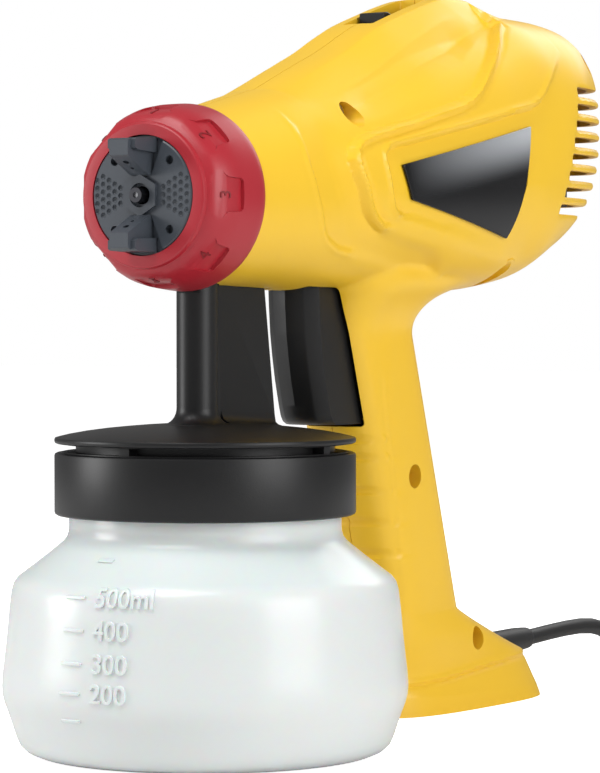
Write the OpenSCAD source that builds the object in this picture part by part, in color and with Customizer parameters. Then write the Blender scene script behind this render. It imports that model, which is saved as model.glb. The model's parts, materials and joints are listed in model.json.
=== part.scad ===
// Handheld paint sprayer with a built-in turbine and a hanging paint cup.
// Millimetres. Z is up, the nozzle faces -Y and the gun's left side is +X.
// The origin is the centre of the cup's flat base, on the surface it stands on.

/* [Paint cup] */
// Radius of the flat base of the paint cup
cup_base_r = 52; // [46:0.5:54]
// Largest outer radius of the paint cup
cup_r = 62; // [59:0.5:66]
// Height of the widest part of the cup
cup_belly_z = 19; // [14:1:26]
// Outer radius of the cup at its shoulder crease
cup_shoulder_r = 58; // [54:0.5:60]
// Height of the shoulder crease
cup_shoulder_z = 54; // [46:1:56]
// Outer radius of the cup's neck
cup_neck_r = 41.6; // [38:0.2:43]
// Height at which the neck begins
cup_neck_z = 66; // [62:1:69]
// Height of the cup's rim
cup_rim_z = 86; // [82:0.5:90]
// Wall of the cup
cup_wall = 1.8; // [1.2:0.1:2.4]
// Thickness of the rubber ring on the rim
seal_t = 2; // [1.5:0.1:3]

/* [Cup lid] */
// Outer radius of the screw collar and of the lid's flange
collar_r = 46; // [45:0.5:50]
// Height of the collar's lower edge
collar_low_z = 72.5; // [70:0.5:76]
// Height of the screw collar
collar_h = 18.9; // [16:0.1:22]
// Height of the slotted drum between collar and flange
drum_h = 2.8; // [2:0.1:5]
// Outer radius of the slotted drum
drum_r = 43.4; // [43:0.1:44.5]
// Thickness of the flange at its edge
flange_h = 2; // [1.5:0.1:4]
// Rise of the lid from its edge to the neck tube
dome_rise = 4.2; // [2:0.1:8]
// Number of slots round the drum
drum_slots = 4; // [2:1:12]
// Width of the posts between the slots
drum_post_w = 3.4; // [2:0.1:8]
// Outer radius of the neck tube
neck_r = 6.25; // [5.5:0.05:7]
// Distance from the cup's axis forward to the neck tube
neck_fwd = 4.6; // [3:0.1:7]
// Thickness of the web behind the neck tube
web_t = 9; // [7:0.5:11]
// Rear edge of the web where it meets the body
web_top_y = 26; // [24:0.5:30]
// Rear edge of the web where it meets the lid
web_low_y = 33; // [30:0.5:37]

/* [Paint pickup] */
// Outer radius of the pickup tube
pickup_r = 4.2; // [3.5:0.1:5]
// Bore radius of the pickup tube
pickup_bore_r = 2.8; // [2:0.1:3]
// Height of the bend of the pickup tube
pickup_bend_z = 46; // [36:1:60]
// Reach of the pickup tube's foot from its own axis
pickup_reach = 30; // [20:1:34]

/* [Spray head] */
// Height of the nozzle axis
nozzle_z = 168.6; // [165:0.2:172]
// Outer radius of the head barrel that carries the dial ring
barrel_r = 22.5; // [21.5:0.1:23]
// Wall of the head barrel
barrel_wall = 3; // [2:0.1:4]
// Radius of the paint channel block inside the barrel
hub_r = 9; // [8:0.1:10]
// Radius of the needle
needle_r = 1.5; // [1.2:0.05:1.8]
// Radius of the fluid nozzle's tip
tip_r = 2.2; // [1.9:0.05:2.4]
// Radius of the air cap's face
cap_r = 17.65; // [16:0.05:18.5]
// Thickness of the air cap's face
cap_face_t = 2.5; // [2:0.1:3]
// How far the horns stand out in front of the air cap
horn_h = 12; // [8:0.5:14]
// Width of a horn
horn_w = 10.4; // [7:0.2:12]

/* [Dial ring] */
// Outer radius of the ring's flat front
ring_front_r = 21.6; // [20.5:0.1:23]
// Outer radius of the ring at its rear rim
ring_r = 28.3; // [27:0.1:30]
// Front face of the ring, measured forward from the cup's axis
ring_front = 33.9; // [32.5:0.1:36]
// Rear rim of the ring, measured forward from the cup's axis
ring_rear = 9.5; // [9.2:0.1:11]
// Number of finger pads round the ring
ring_pads = 8; // [6:1:10]

/* [Body] */
// Wall of the housing
wall = 2.5; // [2:0.1:3]
// Radius of the body behind the dial ring
nose_r = 26.5; // [26:0.1:28]
// Half width of the body at the end of its cone
cone_w = 33.5; // [31:0.5:36]
// Where the cone ends, behind the cup's axis
cone_y = 40; // [36:1:44]
// Half width of the body at its widest
body_w = 43; // [42:0.5:46]
// Length of the body from the end of its cone to its widest place
wide_l = 116; // [110:1:120]
// Length of the body behind its widest place
tail_l = 59; // [57:0.5:66]
// Height of the belly of the body
belly_z = 141; // [138:0.5:142]
// Height of the body at its rear, without the ridge
body_h = 95.8; // [93:0.2:101]
// Height of the ridge above the body's shoulders
ridge_h = 8.8; // [6:0.2:10]
// Half width of the ridge's flat top
ridge_w = 10; // [8:0.5:12]
// Number of air slots on each side
vent_count = 8; // [6:1:9]
// Height step from one air slot to the next
vent_pitch = 5.8; // [5:0.1:6]
// Height of one air slot
vent_h = 3.4; // [2.5:0.1:4]
// Height of the lowest air slot
vent_low_z = 168.6; // [167:0.2:171]

/* [Handle] */
// Lean of the handle
lean = 18.3; // [14:0.1:20]
// Depth of the handle from front to back
grip_d = 45; // [42:0.5:50]
// Half width of the handle
grip_w = 15.5; // [14.5:0.1:18]
// Centre of the handle where the foot begins
grip_y = 118; // [114:0.5:122]
// Height at which the foot begins
foot_z = 34; // [30:0.5:38]
// Rear end of the foot
heel_y = 193; // [188:0.5:197]
// Front end of the foot
toe_y = 95; // [90:0.5:98]
// Half width of the foot near its rear
foot_w = 22; // [19:0.5:26]

/* [Trigger] */
// Width of the trigger between its side faces
trigger_w = 19; // [17:0.2:20]
// Width of the trigger's front face
finger_w = 11.4; // [9:0.2:13]
// Width of the fork that carries the trigger on its pin
fork_w = 12; // [11:0.2:13]
// Play beside the trigger
trigger_play = 1.4; // [0.8:0.1:1.6]
// Height of the trigger's pivot
pivot_z = 182; // [181:0.2:184]
// Where the trigger's pivot lies
pivot_y = 60; // [58:0.5:61]
// Radius of the trigger's pin
pin_r = 2; // [1.5:0.05:2.5]
// Lower end of the trigger
trigger_low_z = 98; // [96:0.5:106]
// Travel of the switch plunger
plunger_travel = 3.8; // [3.7:0.1:5]

/* [Power slide] */
// Width of the slide switch's thumb piece
slide_w = 9.3; // [8:0.1:11]
// Length of the thumb piece
slide_l = 9; // [7:0.5:11]
// Height of the thumb piece above its recess
slide_h = 3.6; // [2.5:0.1:5]
// Travel of the slide
slide_travel = 6; // [4:0.5:7]

/* [Turbine and motor] */
// Height of the motor's axis
motor_z = 188; // [187:0.2:190]
// Room between the rim of the fan wheel and its housing
fan_room = 2.5; // [1.5:0.1:5]
// Outer radius of the fan housing
fan_case_r = 32.5; // [32:0.1:33]
// Number of blades on the fan wheel
fan_blades = 12; // [7:1:14]
// Outer radius of the motor can
can_r = 23; // [22:0.1:24]
// Radius of the motor's shaft
shaft_r = 3; // [2.5:0.05:3.5]
// Outer radius of the motor's bearings
bearing_r = 6.5; // [6:0.1:7]

/* [Fasteners] */
// Radius of the housing screws' heads
screw_head_r = 3.3; // [3:0.05:3.6]
// Radius of the housing screws' shanks
screw_r = 1.6; // [1.3:0.05:1.8]

/* [Cord and plug] */
// Radius of the mains cord
cord_r = 2.9; // [2.5:0.05:3.1]
// Height at which the cord leaves the foot
cord_z = 16.5; // [15:0.5:17.5]
// Radius of the cord sleeve at the foot
sleeve_r = 4.3; // [4.1:0.05:4.6]
// Turns of the coiled cord in each of its two layers
coil_turns = 4; // [3:1:4]
// Radius of the coiled cord's outer turn
coil_r = 47.5; // [46:0.5:48]
// Step from one turn of the coiled cord to the next
coil_step = 6.6; // [6.5:0.05:6.9]
// Radius of a plug pin
plug_pin_r = 2.4; // [2:0.05:2.4]
// Distance between the plug's pins
plug_pin_gap = 19; // [18:0.5:20]
// Length of the plug's pins
plug_pin_l = 19; // [17:0.5:19]

/* [Hidden] */
$fn = 48;
// Gap between pieces that lie near each other without touching
gap = 0.3;
// Radial clearance of a running fit
run = 0.05;
// Overshoot of a cutting shape
over = 1;
// Points round a section of the housing
ring_n = 40;

yellow = "#f7d33f";
black = "#26262a";
red = "#b7323f";
steel = "#b9bcc2";
brass = "#c8a24a";
copper = "#b0643a";
milk = "#eef0ee";

collar_top_z = collar_low_z + collar_h;
flange_z = collar_top_z + drum_h;
dome_z = flange_z + flange_h + dome_rise;
seal_top_z = cup_rim_z + seal_t;
neck_y = -neck_fwd;
neck_top_z = nozzle_z - 12.6;
neck_shoulder_z = nozzle_z - ring_r - 0.7;
spigot_r = pickup_bore_r + 1.8;
nose_y = -ring_rear + 0.4;
cone_top_z = nozzle_z + 37.9;
wide_y = cone_y + wide_l;
tail_y = wide_y + tail_l;
rear_top_z = belly_z + body_h;
// Beyond the widest side of the body
far_x = body_w + 17;

function mix(a, b, t) = a + (b - a) * t;
function sgn(v) = v < 0 ? -1 : 1;
function power(v, e) = sgn(v) * pow(abs(v), e);
function ramp(v) = min(max(v, 0), 1);

// ---- Outer form of the body: sections across Y ----

// Each row: position, half width, top without the ridge, bottom, squareness
body_rows = [
    [nose_y, nose_r, nozzle_z + nose_r, nozzle_z - nose_r, 2],
    [mix(nose_y, cone_y, 0.5), mix(nose_r, cone_w, 0.5),
        mix(nozzle_z + nose_r, cone_top_z, 0.5), mix(nozzle_z - nose_r, belly_z, 0.5), 2.1],
    [cone_y, cone_w, cone_top_z, belly_z, 2.2],
    [mix(cone_y, wide_y, 0.22), mix(cone_w, body_w, 0.34),
        mix(cone_top_z, rear_top_z, 0.2), belly_z, 2.35],
    [mix(cone_y, wide_y, 0.45), mix(cone_w, body_w, 0.68),
        mix(cone_top_z, rear_top_z, 0.48), belly_z, 2.5],
    [mix(cone_y, wide_y, 0.76), mix(cone_w, body_w, 0.93),
        mix(cone_top_z, rear_top_z, 0.81), belly_z, 2.6],
    [wide_y, body_w, rear_top_z, belly_z + 2.5, 2.6],
    [mix(wide_y, tail_y, 0.33), body_w - 0.8, rear_top_z, belly_z + 9.5, 2.6],
    [mix(wide_y, tail_y, 0.58), body_w - 4.2, rear_top_z - 0.5, belly_z + 15.5, 2.6],
    [mix(wide_y, tail_y, 0.78), body_w - 10, rear_top_z - 3.3, belly_z + 20.5, 2.5],
    [mix(wide_y, tail_y, 0.92), body_w - 17, rear_top_z - 8.5, belly_z + 25, 2.4],
    [tail_y, body_w - 25, rear_top_z - 16, belly_z + 31, 2.3]
];

// Height of the ridge along the body
ridge_rows = [
    [cone_y - 12, 0], [cone_y + 20, ridge_h * 0.55], [cone_y + 52, ridge_h * 0.94],
    [wide_y - 28, ridge_h], [wide_y - 10, ridge_h * 0.6], [wide_y + 2, 0]
];

function column(k) = [for (r = body_rows) [r[0], r[k]]];
half_w_rows = column(1);
top_rows = column(2);
low_rows = column(3);
square_rows = column(4);

function half_w(y) = lookup(y, half_w_rows);
function top_z(y) = lookup(y, top_rows);
function low_z(y) = lookup(y, low_rows);
function square(y) = lookup(y, square_rows);
function mid_z(y) = (top_z(y) + low_z(y)) / 2;
function ridge_rise(x, y) = lookup(y, ridge_rows) * ramp((ridge_w * 2 - abs(x)) / ridge_w);

// A point of the section at y, at angle a, drawn in by inset
function body_point(y, a, inset) = let (
    n = square(y),
    x = (half_w(y) - inset) * power(cos(a), 2 / n),
    z = mid_z(y) + ((top_z(y) - low_z(y)) / 2 - inset) * power(sin(a), 2 / n)
) [x, y, z + (sin(a) > 0 ? ridge_rise(x, y) : 0)];

function body_ring(y, inset) = [for (i = [0:ring_n - 1]) body_point(y, 360 * i / ring_n, inset)];

// Side of the body: how far it stands out at y and z
function side_x(y, z) = half_w(y) * pow(
    1 - pow(min(abs(z - mid_z(y)) / ((top_z(y) - low_z(y)) / 2), 0.98), square(y)), 1 / square(y));

// A closed solid through rings of equally many points
module loft(rings) {
    n = len(rings[0]);
    last = len(rings) - 1;
    points = concat([for (r = rings) each r], [centre_of(rings[0]), centre_of(rings[last])]);
    sides = [for (i = [0:last - 1], j = [0:n - 1], half = [0:1])
        let (a = i * n + j, b = i * n + (j + 1) % n) half == 0 ? [a, b, a + n] : [b, b + n, a + n]];
    front = [for (j = [0:n - 1]) [len(points) - 2, (j + 1) % n, j]];
    back = [for (j = [0:n - 1]) [len(points) - 1, last * n + j, last * n + (j + 1) % n]];
    polyhedron(points = points, faces = concat(sides, front, back), convexity = 8);
}

function centre_of(ring) = [for (k = [0:2]) let (v = [for (p = ring) p[k]]) (max(v) + min(v)) / 2];

module body_form(inset = 0, front = 0, back = 0) {
    inner = [for (r = body_rows) if (r[0] > nose_y + 1 && r[0] < tail_y - back - 1) r[0]];
    stations = concat([nose_y - front], inner, [tail_y - back]);
    loft([for (y = stations) [for (p = body_ring(max(y, nose_y), inset)) [p[0], y, p[2]]]]);
}

// ---- Outer form of the handle: sections across Z, from the top down ----

grip_top_z = belly_z + 9;
flare_z = belly_z - 15;
flare_h = 17;
flare_l = 40;
heel_drop = 18;

function grip_mid(z) = grip_y - (z - foot_z) * tan(lean);
function flare(z) = flare_l * (1 - sqrt(1 - pow(ramp((z - flare_z) / flare_h) * 0.98, 2)));
function heel(z) = (heel_y - grip_mid(0) - grip_d / 2) * pow(ramp((foot_z - z) / heel_drop), 1.15);
function toe(z) = (grip_mid(0) - grip_d / 2 - toe_y) * ramp((foot_z - z) / foot_z);
function grip_back(z) = min(grip_mid(z) + grip_d / 2 + flare(z) + heel(z), heel_y);
function grip_front(z) = grip_mid(z) - grip_d / 2 - toe(z);
function grip_half(z) = grip_w + (foot_w - grip_w) * ramp((foot_z - z) / foot_z)
    + 9 * pow(ramp((z - flare_z) / flare_h), 2);

// Squareness of the handle's sections
grip_n = 3.2;

// The foot widens towards its rear
function grip_ring(z, inset) = let (
    f = grip_front(z) + inset, b = grip_back(z) - inset, w = grip_half(z) - inset,
    k = 0.16 * ramp((foot_z - z) / foot_z)
) [for (i = [0:ring_n - 1]) let (a = 360 * i / ring_n, s = power(sin(a), 2 / grip_n))
    [w * power(cos(a), 2 / grip_n) * (1 + k * s), (f + b) / 2 + (b - f) / 2 * s, z]];

grip_heights = [for (t = [1, 0.93, 0.86, 0.78, 0.68, 0.55, 0.4, 0.2, 0]) mix(flare_z, flare_z + flare_h, t)];
shank_heights = [for (i = [1:5]) mix(flare_z, foot_z, i / 5)];
foot_heights = [for (i = [1:6]) foot_z - heel_drop * i / 6];

module grip_form(inset = 0, rise = 0) {
    low = foot_heights[5] / 2;
    heights = concat([grip_top_z], grip_heights, shank_heights, foot_heights, [low, 1.4 + rise]);
    sole = [for (p = grip_ring(rise, inset)) [p[0] * 0.95, mix((toe_y + heel_y) / 2, p[1], 0.985), rise]];
    loft(concat([for (z = heights) grip_ring(z, inset)], [sole]));
}

// ---- Helpers ----

// A cylinder along Y from y0 to y1 at height z
module rod_y(r, y0, y1, z, x = 0) {
    translate([x, y0, z]) rotate([-90, 0, 0]) cylinder(r = r, h = y1 - y0);
}

// A cone along Y
module cone_y_form(r0, r1, y0, y1, z) {
    translate([0, y0, z]) rotate([-90, 0, 0]) cylinder(r1 = r0, r2 = r1, h = y1 - y0);
}

// A ring along Y
module ring_y(r_out, r_in, y0, y1, z) {
    difference() {
        rod_y(r_out, y0, y1, z);
        rod_y(r_in, y0 - over, y1 + over, z);
    }
}

// A cylinder along X from x0 to x1
module rod_x(r, x0, x1, y, z) {
    translate([x0, y, z]) rotate([0, 90, 0]) cylinder(r = r, h = x1 - x0);
}

// A block given by its limits
module block(x, y, z) {
    translate([x[0], y[0], z[0]]) cube([x[1] - x[0], y[1] - y[0], z[1] - z[0]]);
}

// A slab across the body between two heights
module slab(y, z) {
    block([-far_x, far_x], y, z);
}

// Shape drawn in Y and Z, given a width in X
module plate_x(x0, x1) {
    translate([x0, 0, 0]) rotate([90, 0, 90]) linear_extrude(x1 - x0) children();
}

// ---- Housing ----

// Housing screws: each is a place in Y and Z, and the depth of its pocket's floor
clamp_y = heel_y - 37;
// Half the distance between the cable clamp's screws
clamp_pitch = 5.4;
screw_places = [
    [cone_y + 5, cone_top_z - 10.5, 18], [tail_y - 22.5, rear_top_z - 15.8, 17], [wide_y - 16, belly_z + 6, 8],
    [grip_mid(80) - 0.5, 80, 6], [clamp_y - 13, cord_z + 6.7, 6]
];
pocket_boss_r = screw_head_r + 2.6;
screw_boss_r = screw_r + 1.9;
pocket_r = screw_head_r + 0.7;
slot_half = trigger_w / 2 + trigger_play;
fork_half = fork_w / 2 + 0.8;
switch_y = [76, 98];
switch_z = [146, 162];
spring_seat_y = 82;
mount_w = 5;
// Where the fan, the motor can and the motor's end frame begin and end
fan_y = [tail_y - 93, tail_y - 78];
can_y = [fan_y[1] + 5, fan_y[1] + 39];
end_y = [can_y[1], can_y[1] + 14];
fan_ring_y = fan_y[0] + 4;
motor_ring_y = end_y[0] + 6;
ring_t = 2;
fan_ring_r = fan_case_r + gap / 3 + ring_t;
end_r = can_r - 3;
motor_ring_r = end_r + gap / 3 + ring_t + 1;
filter_y = end_y[1] + 6;
filter_t = 3.5;
filter_w = 22;
filter_z = [vent_low_z + 3, rear_top_z - 27.8];
slide_y = wide_y - 56;
slide_floor_z = top_z(slide_y + 10) + ridge_h - 5.2;
clamp_x = cord_r + gap;
cell_x = cord_r + gap * 2;
cell_z = 99;
cell_y = grip_mid(cell_z) - 7;
cell_l = 14;

// What is carried by ribs inside the housing, left standing when it is hollowed
module ribs() {
    difference() {
        union() {
            slab([0, 3], [nozzle_z - 30, nozzle_z + 35]);
            slab([8.5, 11], [nozzle_z - 30, nozzle_z + 35]);
        }
        rod_y(barrel_r + 0.1, -over, 12, nozzle_z, $fn = 72);
    }
    difference() {
        slab([fan_ring_y - 0.2, fan_ring_y + mount_w + 0.2], [belly_z, rear_top_z + 9]);
        rod_y(fan_ring_r + 0.1, fan_ring_y - over, fan_ring_y + mount_w + over, motor_z, $fn = 72);
        block([-8, 8], [fan_ring_y - over, fan_ring_y + mount_w + over], [belly_z, belly_z + 10]);
    }
    difference() {
        slab([motor_ring_y - 0.2, motor_ring_y + mount_w + 0.2], [motor_z - 9, motor_z + 9]);
        rod_y(motor_ring_r + 0.1, motor_ring_y - over, motor_ring_y + mount_w + over, motor_z, $fn = 72);
    }
    difference() {
        slab([spring_seat_y, spring_seat_y + 2.5], [switch_z[1] + gap / 3, nozzle_z + 7]);
        rod_y(needle_r + gap, spring_seat_y - over, spring_seat_y + 4, nozzle_z);
    }
    difference() {
        slab([filter_y + filter_t + 0.1, filter_y + filter_t + 1.8], [belly_z, rear_top_z]);
        block([-filter_w + 3, filter_w - 3], [filter_y, filter_y + 9], [filter_z[0] + 3, filter_z[1] - 3]);
    }
    slab([switch_y[1] + 0.2, switch_y[1] + 2.4], [switch_z[0], switch_z[1]]);
    difference() {
        slab([duct_mid_y - 2, duct_mid_y + 2], [duct_z(duct_mid_y)[0] - 6, rear_top_z]);
        duct_form(duct_wall + 0.1, 0);
    }
    block([-far_x, -cell_x], [cell_y, cell_y + cell_l], [cell_z - 2.1, cell_z - 0.1]);
}

module screw_bosses() {
    for (p = screw_places) {
        rod_x(screw_boss_r, -far_x, far_x, p[0], p[1]);
        rod_x(pocket_boss_r, p[2] - 2, far_x, p[0], p[1]);
    }
    difference() {
        rod_x(pin_r + 3, -far_x, far_x, pivot_y, pivot_z);
        block([-fork_half, fork_half], [pivot_y - 9, pivot_y + 9], [pivot_z - 9, pivot_z + 9]);
    }
    block([-far_x, -clamp_x], [clamp_y - 7, clamp_y + 7], [cord_z - 9, cord_z + 7.4]);
}

module hollow() {
    difference() {
        union() {
            body_form(inset = wall, front = over, back = wall);
            grip_form(inset = wall, rise = wall);
        }
        ribs();
        screw_bosses();
    }
}

// Slanted air slots round the rear of the body, through the wall only
module vents() {
    difference() {
        for (i = [0:vent_count - 1], side = [-1, 1]) {
            z = vent_low_z + i * vent_pitch;
            root_y = mix(wide_y, wide_y + 14, i / vent_count);
            hull() {
                block([side > 0 ? 4 : -5, side > 0 ? 5 : -4], [root_y, tail_y + 9], [z, z + vent_h]);
                block([side * far_x - 0.5, side * far_x + 0.5], [root_y + 3, tail_y + 9],
                    [z - 1.5, z - 1.5 + vent_h]);
            }
        }
        body_form(inset = wall + 0.2, front = over, back = wall + 0.2);
        slab([0, motor_ring_y - 14], [0, vent_low_z - 5]);
    }
}

module trigger_opening() {
    block([-slot_half, slot_half], [finger_y - 4, spring_seat_y - 1.5],
        [trigger_low_z - 1, belly_z + 9]);
}

module neck_opening() {
    rod_len = nozzle_z - belly_z;
    translate([0, neck_y, belly_z - 6]) cylinder(r = neck_r + 0.5, h = rod_len);
    block([-web_t / 2 - 0.5, web_t / 2 + 0.5], [neck_y, web_top_y + 2], [belly_z - 6, belly_z + 7]);
    translate([0, neck_y, belly_z + 1]) cylinder(r = socket_r + 0.4, h = rod_len - 6);
}

module slide_opening() {
    slide_end_y = slide_y + slide_l + slide_travel;
    block([-slide_w / 2 - 1, slide_w / 2 + 1], [slide_y - 9, slide_end_y + 14],
        [slide_floor_z, slide_floor_z + 20]);
    block([-2.4, 2.4], [slide_y + 1, slide_end_y - 1], [slide_floor_z - 9, slide_floor_z + 9]);
}

// Four corners of the side badge in Y and Z: top front, top rear, bottom rear, bottom front
badge_corners = [
    [cone_y + 19.6, belly_z + 39.6], [wide_y - 22.4, belly_z + 55.1],
    [wide_y - 30.1, belly_z + 17.6], [cone_y + 24.9, belly_z + 28.6]
];
badge_t = 1.2;

function badge_spot(u, v, grow) = let (
    c = badge_corners,
    p = mix(mix(c[3], c[2], u), mix(c[0], c[1], u), v),
    m = (c[0] + c[1] + c[2] + c[3]) / 4
) m + (p - m) * (1 + grow);

// A place on the side of the body, drawn in by a depth
function side_spot(p, depth) = [side_x(p[0], p[1]) - depth, p[0], p[1]];

// A plate that follows the side of the body between two depths below its surface
module side_plate(outer, inner, grow = 0, side = 1) {
    nu = 6;
    nv = 4;
    layer = (nu + 1) * (nv + 1);
    points = [for (depth = [outer, inner], i = [0:nu], j = [0:nv])
        side_spot(badge_spot(i / nu, j / nv, grow), depth)];
    function at(i, j) = i * (nv + 1) + j;
    // Corners of each patch of the outer face, then of each patch of the rim
    face = [for (i = [0:nu - 1], j = [0:nv - 1]) [at(i, j), at(i, j + 1), at(i + 1, j + 1), at(i + 1, j)]];
    rim = concat(
        [for (j = [0:nv - 1]) each [[at(0, j + 1), at(0, j)], [at(nu, j), at(nu, j + 1)]]],
        [for (i = [0:nu - 1]) each [[at(i + 1, nv), at(i, nv)], [at(i, 0), at(i + 1, 0)]]]
    );
    patches = concat(
        face,
        [for (f = face) [for (k = [3:-1:0]) f[k] + layer]],
        [for (e = rim) [e[0], e[1], e[1] + layer, e[0] + layer]]
    );
    faces = [for (q = patches) each [[q[0], q[1], q[2]], [q[0], q[2], q[3]]]];
    mirror([side > 0 ? 0 : 1, 0, 0]) polyhedron(points = points, faces = faces, convexity = 4);
}

module cable_hole() {
    rod_y(sleeve_r + gap, heel_y - 27, heel_y + 20, cord_z);
}

module housing(side) {
    difference() {
        union() {
            body_form();
            grip_form();
        }
        hollow();
        vents();
        trigger_opening();
        neck_opening();
        slide_opening();
        cable_hole();
        side_plate(-4, badge_t + 0.1, grow = 0.01, side = side);
        for (p = screw_places) {
            rod_x(screw_r + 0.15, -14, far_x, p[0], p[1]);
            if (side > 0) rod_x(pocket_r, p[2], far_x + over, p[0], p[1]);
        }
        rod_x(pin_r + run, -16, 16, pivot_y, pivot_z);
        for (dz = [-1, 1]) rod_x(1.35, -12, 0, clamp_y, cord_z + clamp_pitch * dz);
        block([side > 0 ? -far_x - over : 0, side > 0 ? 0 : far_x + over], [nose_y - 9, tail_y + 9],
            [-over, rear_top_z + ridge_h + over]);
    }
}

module housing_left() {
    color(yellow) housing(1, $fn = 20);
}

module housing_right() {
    color(yellow) housing(-1, $fn = 20);
}

module housing_screws() {
    color(steel) for (p = screw_places) {
        difference() {
            rod_x(screw_head_r, p[2], p[2] + 2.4, p[0], p[1]);
            translate([p[2] + 1.4, p[0] - 2.2, p[1] - 0.4]) cube([2, 4.4, 0.8]);
            translate([p[2] + 1.4, p[0] - 0.4, p[1] - 2.2]) cube([2, 0.8, 4.4]);
        }
        rod_x(screw_r, -12, p[2], p[0], p[1]);
    }
}

module badge_left() {
    color(black) side_plate(0, badge_t, side = 1);
}

module badge_right() {
    color(black) side_plate(0, badge_t, side = -1);
}

// ---- Power slide on the ridge ----

module slide_switch() {
    color(black) {
        plate_x(-slide_w / 2, slide_w / 2) polygon([
            [slide_y, slide_floor_z + gap], [slide_y, slide_floor_z + slide_h],
            [slide_y + 3, slide_floor_z + slide_h + 0.4], [slide_y + slide_l, slide_floor_z + slide_h * 0.6],
            [slide_y + slide_l, slide_floor_z + gap]
        ]);
        block([-2, 2], [slide_y + 2, slide_y + slide_l - 2], [slide_floor_z - 6, slide_floor_z + 1]);
    }
}

module slide_contact_block() {
    color(black) difference() {
        block([-6, 6], [slide_y - 2.5, slide_y + slide_l + slide_travel + 3],
            [slide_floor_z - 9.5, slide_floor_z - 3]);
        block([-2.5, 2.5], [slide_y + 1, slide_y + slide_l + slide_travel - 1],
            [slide_floor_z - 6.6, slide_floor_z]);
    }
}

// ---- Trigger and power switch ----

arm_t = 2.4;
arm_gap = fork_w / 2 - arm_t;
arm_half = 4;
finger_y = 46;
trigger_back = finger_y + 21;

// Front edge of the trigger in Y and Z, from the top down
trigger_front = [
    [finger_y - 0.5, belly_z + 4], [finger_y, belly_z - 5], [finger_y + 2, belly_z - 21],
    [finger_y + 6, trigger_low_z + 6], [finger_y + 8, trigger_low_z + 1.5]
];

// Side face of the trigger, set back from its front edge
module trigger_side(back) {
    polygon(concat(
        [for (p = trigger_front) [p[0] + back, p[1]]],
        [[finger_y + 10 + back, trigger_low_z], [trigger_back + 3, trigger_low_z],
            [trigger_back + 1, trigger_low_z + 14], [trigger_back - 0.5, belly_z - 10],
            [trigger_back, belly_z + 4]]
    ));
}

// Thin wall at each side of the trigger that closes the opening behind it
module trigger_wall() {
    polygon([
        [trigger_back - 4, trigger_low_z], [trigger_back + 12, trigger_low_z],
        [trigger_back + 4, trigger_low_z + 30], [trigger_back, belly_z],
        [trigger_back - 4, belly_z]
    ]);
}

module trigger() {
    chamfer = (trigger_w - finger_w) / 2;
    color(black) difference() {
        union() {
            plate_x(-finger_w / 2, finger_w / 2) trigger_side(0);
            for (k = [1:3]) plate_x(-finger_w / 2 - chamfer * k / 3, finger_w / 2 + chamfer * k / 3)
                trigger_side(1.7 * k);
            for (x = [-trigger_w / 2, trigger_w / 2 - 1.8]) plate_x(x, x + 1.8) trigger_wall();
            plate_x(-fork_w / 2, fork_w / 2) polygon([
                [pivot_y - arm_half, belly_z], [trigger_back, belly_z],
                [trigger_back, switch_z[0] + 10], [pivot_y - arm_half, switch_z[0] + 10]
            ]);
            for (x = [-fork_w / 2, arm_gap]) plate_x(x, x + arm_t) {
                polygon([
                    [pivot_y - arm_half, switch_z[0] + 2], [pivot_y + arm_half, switch_z[0] + 2],
                    [pivot_y + arm_half, pivot_z], [pivot_y - arm_half, pivot_z]
                ]);
                translate([pivot_y, pivot_z]) circle(r = arm_half);
            }
        }
        rod_x(pin_r + run, -20, 20, pivot_y, pivot_z);
    }
}

module trigger_pin() {
    color(steel) rod_x(pin_r, -15.8, 15.8, pivot_y, pivot_z);
}

plunger_z = switch_z[0] + 6;
plunger_r = 1.7;
plunger_in = 5;

module power_switch() {
    color(black) difference() {
        block([-6, 6], switch_y, switch_z);
        rod_y(plunger_r + run, switch_y[0] - over, switch_y[0] + plunger_in + plunger_travel, plunger_z);
    }
}

module switch_plunger() {
    color(red) rod_y(plunger_r, trigger_back + 0.1, switch_y[0] + plunger_in, plunger_z);
}

module capacitor() {
    color(brass) block([-grip_w + wall + gap * 4, -cell_x], [cell_y, cell_y + cell_l], [cell_z, cell_z + 14]);
}

// ---- Paint cup and lid ----

cup_floor_t = cup_wall + 0.4;

module cup_profile(t, floor) {
    drop = t > 0 ? 0.8 : 0;
    top = cup_rim_z + (t > 0 ? over : 0);
    rotate_extrude($fn = 72) polygon([
        [0, floor], [cup_base_r - t, floor],
        [cup_base_r + 3 - t, floor + 1], [cup_base_r + 5 - t, floor + 3.5],
        [mix(cup_base_r, cup_r, 0.72) - t, cup_belly_z * 0.5], [cup_r - 0.6 - t, cup_belly_z * 0.82],
        [cup_r - t, cup_belly_z], [cup_r - 0.4 - t, cup_belly_z + 6],
        [mix(cup_r, cup_shoulder_r, 0.6) - t, cup_shoulder_z - 9],
        [cup_shoulder_r - t, cup_shoulder_z - drop], [cup_neck_r - t, cup_neck_z - drop],
        [cup_neck_r - t, top], [0, top]
    ]);
}

module cup() {
    color(milk, 0.8) difference() {
        cup_profile(0, 0);
        cup_profile(cup_wall, cup_floor_t);
    }
}

module cup_seal() {
    color(black) difference() {
        translate([0, 0, cup_rim_z]) cylinder(r = cup_neck_r - 0.1, h = seal_t, $fn = 72);
        translate([0, 0, cup_rim_z - over])
            cylinder(r = cup_neck_r - cup_wall - 1.6, h = seal_t + 2 * over, $fn = 72);
    }
}

collar_in_r = cup_neck_r + 0.4;

module screw_collar() {
    color(black) difference() {
        translate([0, 0, collar_low_z]) cylinder(r = collar_r, h = collar_h, $fn = 72);
        translate([0, 0, collar_low_z - over]) cylinder(r = collar_in_r, h = collar_h + 2, $fn = 72);
    }
}

vent_y = 15;
vent_r = 2;

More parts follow.
